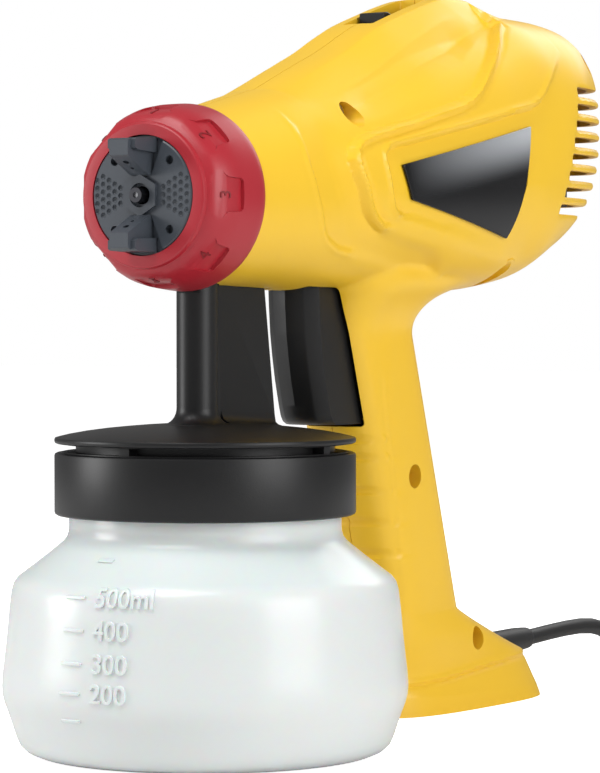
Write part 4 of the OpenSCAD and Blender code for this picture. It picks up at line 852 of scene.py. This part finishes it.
class SPRAYER_OT_dial_ring(bpy.types.Operator):
    """Builds the red dial ring with its eight numbered pads"""
    bl_idname = "sprayer.dial_ring"
    bl_label = "Dial ring"

    def execute(self, context):
        profile = [
            (17.95, -33.9), (21.1, -33.9), (21.6, -33.6), (21.8, -33.0), (21.9, -32.3), (22.6, -31.9),
            (23.6, -31.2),
            (24.4, -30.5), (25.3, -29.0), (26.2, -27.0), (27.0, -24.5), (27.5, -21.5), (27.85, -18.0),
            (28.2, -14.0), (28.3, -12.3), (28.25, -11.0), (27.9, -9.8), (27.5, -9.5),
            (22.55, -9.5), (22.55, -31.0), (17.95, -31.0), (17.95, -33.9)]
        ring = scratch("ring", revolve(profile, "Y", (0, 0, NOZZLE_Z), 144))
        floor = [(-34.0, 22.8), (-31.7, 22.7), (-31, 23.1), (-30, 23.9), (-29, 24.4), (-27, 25.2),
                 (-25, 25.7),
                 (-22, 26.2), (-20.8, 26.3)]
        for i in range(8):
            half = [(-34, 12.6), (-31.2, 11.9), (-29.6, 9.8), (-28.0, 6.5), (-26.8, 5.3), (-21.6, 4.9),
                    (-20.8, 4.2)]
            pad = prism_form([(y, -w) for y, w in half] + [(y, w) for y, w in reversed(half)], 0, 9, axis="X")
            for y, _ in floor[1:-1]:
                slice_form(pad, (0, y * MM, 0), (0, 1, 0))
            for vert in pad.verts:
                vert.co.x += float(np.interp(vert.co.y / MM, *zip(*floor))) * MM
            shift(pad, 0, 0, NOZZLE_Z)
            combine(ring, turned_form(pad, 45 * i))
        finish_solid(ring, "numbered_ring", (0.00045, 2, 30), ring_material(), "dial", ["dial_ring"],
                     "red_plastic", 40)
        for i in range(8):
            self.digit(str(i + 1), 90 - 45 * i)
        return {"FINISHED"}

    def digit(self, text, angle):
        """A small numeral let into a pad, standing across the ring."""
        bm = text_form(text, 0.0058, 0.0004, "CENTER")
        out, forward = 0.02495, -0.0270
        lay = Matrix(((0, 0, 1, out), (0, -1, 0, forward), (1, 0, 0, 0), (0, 0, 0, 1)))
        bmesh.ops.transform(bm, matrix=lay, verts=bm.verts)
        bmesh.ops.rotate(bm, cent=(out, forward, 0), matrix=Matrix.Rotation(math.radians(-17), 3, "Z"),
                         verts=bm.verts)
        shift(bm, 0, 0, NOZZLE_Z)
        turned_form(bm, -angle)
        bmesh.ops.recalc_face_normals(bm, faces=bm.faces)
        mat = plain_material("numeral_red", (0.24, 0.008, 0.014), rough=0.5)
        finish_piece("ring_numeral_" + text, bm, mat, "dial", (), "red_plastic")


class SPRAYER_OT_air_cap(bpy.types.Operator):
    """Builds the grey air cap with its horns, dimples and air holes"""
    bl_idname = "sprayer.air_cap"
    bl_label = "Air cap"

    def execute(self, context):
        face = -34.1
        profile = [(0, face), (17.2, face), (17.65, face + 0.45), (17.65, -30.7), (21.5, -30.7),
                   (21.5, -28.4),
                   (14.25, -28.4), (14.25, -31.6), (0, -31.6)]
        cap = scratch("cap", revolve(profile, "Y", (0, 0, NOZZLE_Z), 96))
        for side in (1, -1):
            wedge = prism_form([(-3.4, 6.2), (-8.6, 18.5), (8.6, 18.5), (3.4, 6.2)], face - 3, face + 1.3,
                               axis="Y")
            self.place(wedge, side)
            combine(cap, wedge)
        for side in (1, -1):
            combine(cap, self.horn(face, side), "UNION")
        boss = bmesh.new()
        bmesh.ops.create_cone(boss, cap_ends=True, segments=6, radius1=5.8 * MM, radius2=6.3 * MM,
                              depth=4.2 * MM)
        bmesh.ops.rotate(boss, cent=(0, 0, 0), matrix=Matrix.Rotation(math.radians(90), 3, "X"),
                         verts=boss.verts)
        shift(boss, 0, face + 0.9, NOZZLE_Z)
        combine(cap, boss, "UNION")
        cuts = [rod_form(2.75, (0, face - 3, NOZZLE_Z), (0, face + 6, NOZZLE_Z)),
                rod_form(3.6, (0, face - 3, NOZZLE_Z), (0, face + 0.2, NOZZLE_Z))]
        for x in (-1, 1):
            for z in (-1, 1):
                cuts.append(rod_form(1.35, (9.8 * x, face - 3, NOZZLE_Z + 10.2 * z),
                                     (9.8 * x, face + 2.2, NOZZLE_Z + 10.2 * z), 28))
        for bm in cuts:
            combine(cap, bm)
        dents = []
        for side in (1, -1):
            for column, count in enumerate((3, 4, 5, 6, 5)):
                for row in range(count):
                    dents.append((side * (7.6 + column * 2.1), (row - (count - 1) / 2) * 2.3))
        balls = []
        for x, z in dents:
            ball = bmesh.new()
            bmesh.ops.create_icosphere(ball, subdivisions=2, radius=0.98 * MM)
            balls.append(shift(ball, x, face - 0.3, NOZZLE_Z + z))
        combine(cap, join_forms(balls))
        finish_solid(cap, "horned_air_cap", (0.0002, 2, 30), cap_material(), "cap", ["air_cap"],
                     "grey_plastic", 35)
        return {"FINISHED"}

    def place(self, bm, side):
        """Puts a form above or below the nozzle axis."""
        bmesh.ops.scale(bm, vec=(1, 1, side), verts=bm.verts)
        shift(bm, 0, 0, NOZZLE_Z)
        bmesh.ops.recalc_face_normals(bm, faces=bm.faces)

    def horn(self, face, side):
        """One horn: a stem with a sloping inner face, a wider head and two air holes."""
        stem = prism_form([(face + 1.5, 16.6), (face - 11, 16.2), (face - 12, 15.7), (face - 12, 11.4),
                           (face - 11.2, 10.9), (face - 1.2, 5.9), (face + 1.5, 5.6)], -3.3, 3.3, axis="X")
        self.place(stem, side)
        solid = scratch("stem", stem)
        head = prism_form([(face + 1.5, 16.9), (face - 9.6, 16.5), (face - 10.5, 16.0), (face - 10.5, 13.6),
                           (face - 9.0, 13.0), (face + 1.5, 12.6)], -4.9, 4.9, axis="X")
        self.place(head, side)
        combine(solid, head, "UNION")
        for depth, radius, height in ((-7.0, 0.95, 9.3), (-3.8, 0.55, 7.5)):
            hole = rod_form(radius, (0, face + depth - 3, height - 2), (0, face + depth + 3.4, height + 5.5),
                            20)
            self.place(hole, side)
            combine(solid, hole)
        return solid


# ---------------------------------------------------------------- operators: cup and lid

class SPRAYER_OT_cup(bpy.types.Operator):
    """Builds the milky paint cup with its raised graduation"""
    bl_idname = "sprayer.cup"
    bl_label = "Paint cup"

    OUTLINE = [(0, 0.9), (38, 0.9), (44, 0.6), (47.5, 0.1), (50, 0), (52.5, 0.35), (54.8, 1.3), (56.6, 3.0),
               (57.6, 5.2), (58.9, 9.2), (60.1, 12.7), (61.2, 15.6), (61.8, 18.0), (62.0, 20.5), (61.8, 24),
               (61.2, 29), (60.4, 36), (59.7, 44), (59.0, 49.6), (58.3, 52.0), (57.0, 53.7), (55.0, 55.2),
               (51.8, 57.6), (48.3, 60.3),
               (45.2, 62.8), (43.2, 64.5), (42.2, 65.8), (41.7, 67.4), (41.6, 69), (41.6, 85.7), (41.3, 86)]

    def execute(self, context):
        inner = [(r - 1.8, max(z + 0.2, 2.2)) for r, z in self.OUTLINE[3:-2]]
        profile = self.OUTLINE + [(39.8, 86)] + list(reversed(inner)) + [(0, 2.2)]
        bm = revolve(profile, "Z", (0, 0, 0), 128)
        cup = finish_piece("milky_cup", bm, cup_material(), "cup", ["cup"], "milky_plastic", 50)
        for text, z in (("500", 51.0), ("400", 41.5), ("300", 31.9), ("200", 23.3)):
            self.mark(text, z)
        self.dash(15.1, -96.5, 7.0)
        self.dash(61.2, -94.5, 7.0)
        return {"FINISHED"}

    def radius_at(self, z):
        """The cup's outer radius at a height, both in mm."""
        rows = self.OUTLINE[6:]
        return float(np.interp(z, [r[1] for r in rows], [r[0] for r in rows]))

    def wrap(self, bm, angle):
        """Bends a flat form, drawn in X and Z at Y = 0, round the cup at an angle from +X."""
        for vert in bm.verts:
            r = self.radius_at(vert.co.z / MM) * MM + 0.0002 - vert.co.y
            turn = math.radians(angle) + vert.co.x / 0.06
            vert.co = (r * math.cos(turn), r * math.sin(turn), vert.co.z)

    def dash(self, z, angle, length):
        """One raised line of the graduation."""
        bm = bmesh.new()
        bmesh.ops.create_cube(bm, size=1)
        bmesh.ops.scale(bm, vec=(length * MM, 0.0009, 0.0011), verts=bm.verts)
        bmesh.ops.subdivide_edges(bm, edges=[e for e in bm.edges
                                             if abs((e.verts[0].co - e.verts[1].co).x) > 1e-4],
                                  cuts=6)
        shift(bm, 0, 0, z)
        self.wrap(bm, angle)
        bmesh.ops.recalc_face_normals(bm, faces=bm.faces)
        piece = finish_piece("graduation_dash_%d" % round(z), bm, cup_material(), "cup", (), "milky_plastic")
        soften(piece, 0.0003)

    def mark(self, text, z):
        """A volume in raised figures with its line."""
        bm = text_form(text + ("ml" if text == "500" else ""), 0.0078, 0.00035, "LEFT", 0.00012)
        bmesh.ops.rotate(bm, cent=(0, 0, 0), matrix=Matrix.Rotation(math.radians(90), 3, "X"), verts=bm.verts)
        shift(bm, 0, 0, z)
        for k in range(-5, 6):
            slice_form(bm, (0, 0, (z + k * 0.8 + 0.13) * MM), (0, 0, 1))
        self.wrap(bm, -89.5)
        bmesh.ops.recalc_face_normals(bm, faces=bm.faces)
        finish_piece("graduation_" + text, bm, cup_material(), "cup", (), "milky_plastic")
        self.dash(z, -96.5, 7.4)


class SPRAYER_OT_lid(bpy.types.Operator):
    """Builds the black lid with its slotted drum, dome, neck tube and web"""
    bl_idname = "sprayer.lid"
    bl_label = "Cup lid"

    def execute(self, context):
        dome = [(44.9, 96.2), (42, 96.9), (37, 97.8), (31, 98.6), (25, 99.2), (19, 99.7), (12.5, 100.1),
                (6, 100.3), (0, 100.4)]
        profile = [(0, 91.5), (36.9, 91.5), (36.9, 88.0), (41.9, 88.0), (41.9, 91.4), (43.4, 91.4),
                   (43.4, 94.2),
                   (45.3, 94.2), (45.8, 94.45), (46.0, 94.9), (46.0, 95.5), (45.75, 95.95)] + dome
        lid = scratch("lid", revolve(profile, "Z", (0, 0, 0), 144))
        groove = scratch("groove", revolve([(39.5, 91.75), (50, 91.75), (50, 93.95), (39.5, 93.95),
                                            (39.5, 91.75)],
                                           "Z", (0, 0, 0), 144))
        combine(groove, join_forms([
            box_form((-60, -1.7, 90), (60, 1.7, 96)), box_form((-1.7, -60, 90), (1.7, 60, 96))]))
        combine(lid, groove)
        tube = scratch("tube", self.tube())
        combine(tube, box_form((-20, -20, 139.9), (20, -9.2, 150)))
        combine(lid, tube, "UNION")
        combine(lid, self.web(), "UNION")
        combine(lid, self.web_foot(), "UNION")
        for radius, y, top in ((2.8, TUBE_Y, 160), (4.25, TUBE_Y, 96), (2.0, 15, 97.8)):
            combine(lid, rod_form(radius, (0, y, 80), (0, y, top)))
        finish_solid(lid, "domed_lid", (0.00035, 2, 40), black_material(), "gun", ["cup_lid"],
                     "black_plastic", 35)
        return {"FINISHED"}

    def tube(self):
        """The neck tube with its flared foot."""
        profile = [(0, 96), (11.5, 98.0)]
        for k in range(9):
            a = math.radians(90 * k / 8)
            profile.append((10.6 - 4.35 * math.sin(a), 100.0 + 4.35 * (1 - math.cos(a)) * 1.15))
        profile += [(6.25, 146), (4.6, 146), (4.6, 156), (0, 156)]
        return revolve(profile, "Z", (0, TUBE_Y, 0), 72)

    def web_foot(self):
        """Rounded foot along the base of the web, sloping with the dome."""
        half = [(8.2, -1.5), (8.2, 0.05), (6.6, 0.5), (5.4, 1.4), (4.7, 2.8), (4.4, 4.6)]
        foot = prism_form([(x, z) for x, z in half] + [(-x, z) for x, z in reversed(half)], 2, 31.5, axis="Y")
        for vert in foot.verts:
            vert.co.z += mix(100.2, 98.6, (vert.co.y / MM - 2) / 29.5) * MM
        return foot

    def web(self):
        """The flat web behind the tube."""
        return prism_form([(-4.6, 98.5), (34.4, 97.0), (33.4, 99.6), (32.7, 102), (26, 146), (-3.4, 146)],
                          -4.5, 4.5, axis="X")


class SPRAYER_OT_collar(bpy.types.Operator):
    """Builds the black screw collar"""
    bl_idname = "sprayer.collar"
    bl_label = "Screw collar"

    def execute(self, context):
        profile = [(42.0, 72.5), (45.2, 72.5), (45.8, 72.9), (46.0, 73.5), (46.0, 90.5), (45.8, 91.1),
                   (45.2, 91.4),
                   (42.0, 91.4), (42.0, 72.5)]
        bm = revolve(profile, "Z", (0, 0, 0), 144)
        finish_piece("round_collar", bm, black_material(), "cup", ["screw_collar"], "black_plastic", 40)
        return {"FINISHED"}


# ---------------------------------------------------------------- operators: trigger, slide, cord

class SPRAYER_OT_trigger(bpy.types.Operator):
    """Builds the black trigger with its ridged finger face and its side walls"""
    bl_idname = "sprayer.trigger"
    bl_label = "Trigger"

    def execute(self, context):
        front = [(56.5, 98), (54.6, 98.8), (53.2, 100.6), (52, 104), (49.6, 112.5), (48, 120), (46.8, 127),
                 (46, 136), (45.5, 145)]
        across = [(-9.5, 5.4), (-6.1, 2.0), (-5.3, 1.5), (0, 0), (5.3, 1.5), (6.1, 2.0), (9.5, 5.4)]
        bm = grid_form(len(across) - 1, 48)
        depths, heights = zip(*front)
        for vert in bm.verts:
            x, sunk = across[round((vert.co.x + 1) / 2 * (len(across) - 1))]
            z = mix(98, 145, (vert.co.y + 1) / 2)
            vert.co = (x * MM, (float(np.interp(z, heights, depths)) + sunk) * MM, z * MM)
        made = bmesh.ops.extrude_face_region(bm, geom=list(bm.faces))
        for g in made["geom"]:
            if isinstance(g, bmesh.types.BMVert):
                z = g.co.z / MM
                g.co.y = float(np.interp(z, [98, 112, 131, 145], [70, 68, 66.5, 67])) * MM
        bmesh.ops.recalc_face_normals(bm, faces=bm.faces)
        solid = scratch("finger", bm)
        combine(solid, box_form((-6, 56, 141), (6, 67, 156)), "UNION")
        for x in (-9.5, 7.7):
            wall = prism_form([(62, 98), (78.5, 98), (70.5, 128), (66.5, 141), (62, 141)], x, x + 1.8,
                              axis="X")
            combine(solid, wall, "UNION")
        for x in (-6, 3.6):
            arm = prism_form([(56, 148), (64, 148), (64, 182), (56, 182)], x, x + 2.4, axis="X")
            combine(solid, arm, "UNION")
            combine(solid, rod_form(4, (x, 60, 182), (x + 2.4, 60, 182)), "UNION")
        combine(solid, rod_form(2.05, (-20, 60, 182), (20, 60, 182)))
        finish_solid(solid, "finger_trigger", (0.0006, 3, 40), black_material(), "trigger", ["trigger"],
                     "black_plastic", 30)
        return {"FINISHED"}


class SPRAYER_OT_slide(bpy.types.Operator):
    """Builds the power slide on the ridge"""
    bl_idname = "sprayer.slide"
    bl_label = "Power slide"

    def execute(self, context):
        z1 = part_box("slide_switch")[1][2] / MM
        z0 = z1 - 3.9
        bm = prism_form([(100, z0), (100, z1 - 0.4), (103, z1), (109, z1 - 1.7), (109, z0)], -4.65, 4.65,
                        axis="X")
        solid = scratch("thumb", bm)
        combine(solid, box_form((-2, 102, z0 - 6), (2, 107, z0 + 1)), "UNION")
        finish_solid(solid, "thumb_slide", (0.0003, 2, 30), black_material(), "slide", ["slide_switch"],
                     "black_plastic", 30)
        return {"FINISHED"}


COIL_X, COIL_Y, COIL_R, COIL_STEP, COIL_TURNS, CORD_R = 25.0, 365.0, 47.5, 6.6, 4, 2.9
LAY_Z = CORD_R + 0.1
LAYER_Z = LAY_Z + CORD_R * 2 + 0.6
INNER_R = COIL_R - COIL_STEP * COIL_TURNS


def coil_points():
    """Centre line of the coil: in on the floor, half a turn up, out again on top."""
    points = []
    total = COIL_TURNS * 2 + 0.5
    for i in range(int(total * 48) + 1):
        t = i / 48
        if t < COIL_TURNS:
            r = COIL_R - COIL_STEP * t
        elif t < COIL_TURNS + 0.5:
            r = INNER_R - 0.9 * math.sin(math.pi * (t - COIL_TURNS) / 0.5)
        else:
            r = INNER_R + COIL_STEP * (t - COIL_TURNS - 0.5)
        z = mix(LAY_Z, LAYER_Z, min(max((t - COIL_TURNS) / 0.5, 0), 1))
        a = math.radians(180 - 360 * t)
        points.append((COIL_X + r * math.cos(a), COIL_Y + r * math.sin(a), z))
    return points


TAIL_X = COIL_X + INNER_R + COIL_STEP * COIL_TURNS
RUN_POINTS = [(0, 206, CORD_Z), (0, 210.6, CORD_Z), (0, 217, 16.6), (0, 228, 17), (0, 242, 17.3),
              (0, 254, 17.2), (0, 264, 16.4),
              (-1, 274, 14.6), (-3, 284, 11.8), (-6, 294, 8.6), (-9.5, 304, 5.8), (-13.5, 314, 3.9),
              (-17.5, 324, 3.2), (-20.5, 334, 3), (-22, 344, 3), (-22.5, 352, 3),
              (COIL_X - COIL_R, 359.2, LAY_Z)]
TAIL_POINTS = [(TAIL_X, 359.2, LAYER_Z), (TAIL_X, 350, 9.3), (TAIL_X, 340, 8.9), (TAIL_X, 330, 8.2),
               (TAIL_X, 320, 7.6), (TAIL_X, 312, PLUG_Z), (TAIL_X, 306, PLUG_Z), (TAIL_X, 302, PLUG_Z)]


class SPRAYER_OT_cord(bpy.types.Operator):
    """Lays the mains cord from the foot to its plug"""
    bl_idname = "sprayer.cord"
    bl_label = "Mains cord"

    def execute(self, context):
        points = RUN_POINTS + coil_points() + TAIL_POINTS
        curve = bpy.data.curves.new("mains_cord", "CURVE")
        curve.dimensions = "3D"
        curve.bevel_depth = sizes().cord_r
        curve.bevel_resolution = 4
        curve.use_fill_caps = True
        spline = curve.splines.new("POLY")
        spline.points.add(len(points) - 1)
        for target, point in zip(spline.points, points):
            target.co = [c * MM for c in point] + [1]
        spline.use_smooth = True
        cord = link("mains_cord", curve)
        curve.materials.append(rubber_material())
        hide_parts("cord_run", "cord_coil", "cord_tail")
        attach(cord, "gun")
        plug = self.plug()
        return {"FINISHED"}

    def plug(self):
        """A flat two-pin plug with a ribbed sleeve for its cord."""
        bm = grid_form(48, 40)
        ys = [262, 262.4, 263.4, 266, 278, 281, 284, 287, 290, 292, 306]
        ws = [15.6, 16.6, 17.2, 17.4, 17.2, 15.6, 12.6, 9.4, 6.6, 5.2, 4.0]
        hs = [5.6, 6.6, 7.1, 7.25, 7.25, 7.1, 6.7, 6.2, 5.6, 5.0, 4.0]
        for vert in bm.verts:
            t = (vert.co.y + 1) / 2
            y = 262 + 44 * t
            w, h = float(np.interp(y, ys, ws)), float(np.interp(y, ys, hs))
            n = mix(2.6, 2.0, t)
            a = -(vert.co.x + 1) * math.pi
            c, s = math.cos(a), math.sin(a)
            reach = (abs(c) ** n + abs(s) ** n) ** (-1 / n)
            groove = 0.45 * (1 if y > 292 and int((y - 292) / 1.6) % 2 else 0)
            vert.co = ((TAIL_X + (w - groove) * reach * c) * MM, y * MM,
                       (PLUG_Z + (h - groove) * reach * s) * MM)
        return finish_piece("two_pin_plug", sew(bm), rubber_material(), "gun", ["plug_body"], "black_rubber",
                            40)


class SPRAYER_OT_strain_relief(bpy.types.Operator):
    """Builds the tapered sleeve round the cord at the foot"""
    bl_idname = "sprayer.strain_relief"
    bl_label = "Cord sleeve"

    def execute(self, context):
        profile = [(2.95, 163.3), (5.2, 163.3), (5.2, 165.3), (4.3, 165.3), (4.3, 202.6), (4.22, 203.2),
                   (3.95, 208.5), (3.8, 210.2), (3.5, 210.6), (2.95, 210.6), (2.95, 163.3)]
        bm = revolve(profile, "Y", (0, 0, CORD_Z), 48)
        finish_piece("cord_sleeve", bm, rubber_material(), "gun", ["strain_relief"], "black_rubber", 40)
        return {"FINISHED"}


class SPRAYER_OT_inner_finishes(bpy.types.Operator):
    """Gives the CAD parts that stay their own finishes"""
    bl_idname = "sprayer.inner_finishes"
    bl_label = "Other parts"

    def execute(self, context):
        steel = metal_material("turned_steel", (0.55, 0.56, 0.58))
        brass = metal_material("turned_brass", (0.66, 0.46, 0.2))
        copper = metal_material("wound_copper", (0.6, 0.26, 0.13), 0.4)
        nickel = metal_material("nickel_plate", (0.72, 0.71, 0.69), 0.2)
        white = plain_material("white_plastic", (0.75, 0.75, 0.73))
        red = plain_material("red_rubber", (0.42, 0.03, 0.03), rough=0.55)
        carbon = plain_material("pressed_carbon", (0.03, 0.03, 0.032), rough=0.6, depth=0.2)
        foam = plain_material("filter_foam", (0.05, 0.055, 0.06), rough=0.95, grain=500.0, depth=0.9,
                              shade=0.4)
        by_slot = {
            "steel": steel, "brass": brass, "copper": copper, "nickel": nickel, "white_plastic": white,
            "red_rubber": red, "carbon": carbon, "filter_foam": foam, "black_rubber": rubber_material(),
            "black_plastic": black_material(), "badge_plastic": black_material(), "red_plastic": ring_material(),
            "grey_plastic": cap_material(), "yellow_plastic": housing_material(),
            "milky_plastic": cup_material(),
        }
        for part in frame["record"]["subparts"]:
            obj = frame["nodes"][part["node"]]
            obj.data.materials.clear()
            obj.data.materials.append(by_slot[part["material_slot"]])
        tip = frame["nodes"]["fluid_nozzle"]
        tip.data.materials.clear()
        tip.data.materials.append(metal_material("blackened_steel", (0.09, 0.09, 0.1), 0.35))
        return {"FINISHED"}


# ---------------------------------------------------------------- stage

WHITE = (1, 1, 1, 1)
FOCAL_PX, PICTURE_HEIGHT_PX, SENSOR_MM = 3189, 773, 36
CAMERA_TURN, CAMERA_DIP, CAMERA_SPOT = 31.66, 1.26, (0.5352, -0.8129, 0.1328)
LAMPS = (
    ("key_lamp", (-0.1, -0.55, 1.3), 0.8, 12.5),
    ("left_lamp", (-1.2, -0.75, 0.35), 0.5, 8.0),
    ("right_lamp", (1.3, -0.1, 0.5), 0.8, 10.0),
    ("rim_lamp", (0.0, 1.2, 0.8), 0.6, 3.0),
)


class SPRAYER_OT_stage(bpy.types.Operator):
    """Sets the floor, the soft lamps, the world and the camera"""
    bl_idname = "sprayer.stage"
    bl_label = "Stage"

    def execute(self, context):
        scene = context.scene
        scene.view_settings.view_transform = "Standard"
        self.camera(scene)
        self.floor(scene)
        for lamp in LAMPS:
            self.lamp(*lamp)
        self.world(scene)
        return {"FINISHED"}

    def world(self, scene):
        """White to the camera, and a weaker fill light on the pieces."""
        world = bpy.data.worlds.new("studio")
        scene.world = world
        world.use_nodes = True
        tree = world.node_tree
        tree.nodes.clear()
        out = add_node(tree, "OutputWorld")
        lit = add_node(tree, "Background", {"Color": WHITE, "Strength": 0.24})
        seen = add_node(tree, "Background", {"Color": WHITE, "Strength": 1.0})
        path = add_node(tree, "LightPath")
        pick = add_node(tree, "Math", operation="MAXIMUM")
        mixer = add_node(tree, "MixShader")
        wire(tree, (path, "Is Camera Ray", pick, 0), (path, "Is Transmission Ray", pick, 1),
             (pick, 0, mixer, "Fac"), (lit, 0, mixer, 1), (seen, 0, mixer, 2), (mixer, 0, out, "Surface"))

    def camera(self, scene):
        """A camera in front and to the left of the gun, looking slightly down."""
        data = bpy.data.cameras.new("camera")
        data.sensor_width = SENSOR_MM
        data.lens = FOCAL_PX * SENSOR_MM / PICTURE_HEIGHT_PX
        data.clip_end = 30
        camera = bpy.data.objects.new("camera", data)
        scene.collection.objects.link(camera)
        a, p = math.radians(CAMERA_TURN), math.radians(CAMERA_DIP)
        forward = Vector((-math.sin(a) * math.cos(p), math.cos(a) * math.cos(p), -math.sin(p)))
        camera.location = CAMERA_SPOT
        camera.rotation_euler = forward.to_track_quat("-Z", "Y").to_euler()
        scene.camera = camera

    def floor(self, scene):
        """A pale floor that glows to the camera, so that only shadows show on it."""
        bm = bmesh.new()
        bmesh.ops.create_grid(bm, x_segments=1, y_segments=1, size=6)
        mesh = bpy.data.meshes.new("floor")
        bm.to_mesh(mesh)
        bm.free()
        floor = bpy.data.objects.new("floor", mesh)
        scene.collection.objects.link(floor)
        floor.location = (0, 0, -0.00005)
        mat = bpy.data.materials.new("pale_floor")
        mat.use_nodes = True
        tree = mat.node_tree
        shader = tree.nodes["Principled BSDF"]
        set_inputs(shader, {"Base Color": (0.82, 0.82, 0.82, 1), "Roughness": 0.7, "Specular IOR Level": 0.1})
        glow = add_node(tree, "Emission", {"Color": WHITE, "Strength": 0.85})
        path = add_node(tree, "LightPath")
        painted_reflection_mask = add_node(tree, "AddShader")
        pick = add_node(tree, "MixShader")
        wire(tree, (shader, 0, painted_reflection_mask, 0), (glow, 0, painted_reflection_mask, 1), (path, "Is Camera Ray", pick, "Fac"),
             (shader, 0, pick, 1), (painted_reflection_mask, 0, pick, 2), (pick, 0, tree.nodes["Material Output"], "Surface"))
        mesh.materials.append(mat)

    def lamp(self, name, place, size, watts):
        """A square lamp that faces the gun."""
        data = bpy.data.lights.new(name, "AREA")
        data.size = size
        data.energy = watts
        lamp = bpy.data.objects.new(name, data)
        bpy.context.scene.collection.objects.link(lamp)
        lamp.location = place
        lamp.rotation_euler = (Vector((0, 0.06, 0.12)) - Vector(place)).to_track_quat("-Z", "Y").to_euler()


# ---------------------------------------------------------------- panel and main

STEPS = (SPRAYER_OT_stage, SPRAYER_OT_inner_finishes, SPRAYER_OT_cord, SPRAYER_OT_housing, SPRAYER_OT_badges,
         SPRAYER_OT_dial_ring, SPRAYER_OT_air_cap, SPRAYER_OT_cup, SPRAYER_OT_lid, SPRAYER_OT_collar,
         SPRAYER_OT_trigger, SPRAYER_OT_slide, SPRAYER_OT_strain_relief)


class SPRAYER_PT_panel(bpy.types.Panel):
    """Lists the sizes, the colours and the pieces of the sprayer"""
    bl_idname = "SPRAYER_PT_panel"
    bl_label = "Paint sprayer"
    bl_space_type = "VIEW_3D"
    bl_region_type = "UI"
    bl_category = "Sprayer"

    def draw(self, context):
        for group in (context.scene.sprayer_sizes, context.scene.sprayer_colours):
            for name in group.__annotations__:
                self.layout.prop(group, name)
        for step_class in STEPS:
            self.layout.operator(step_class.bl_idname)


CLASSES = (SprayerSizes, SprayerColours) + STEPS + (SPRAYER_PT_panel,)


def register():
    for cls in CLASSES:
        bpy.utils.register_class(cls)
    bpy.types.Scene.sprayer_sizes = bpy.props.PointerProperty(type=SprayerSizes)
    bpy.types.Scene.sprayer_colours = bpy.props.PointerProperty(type=SprayerColours)


def unregister():
    del bpy.types.Scene.sprayer_colours
    del bpy.types.Scene.sprayer_sizes
    for cls in reversed(CLASSES):
        bpy.utils.unregister_class(cls)


def main():
    register()
    for step_class in STEPS:
        group, name = step_class.bl_idname.split(".")
        getattr(getattr(bpy.ops, group), name)()


if __name__ == "__main__":
    main()
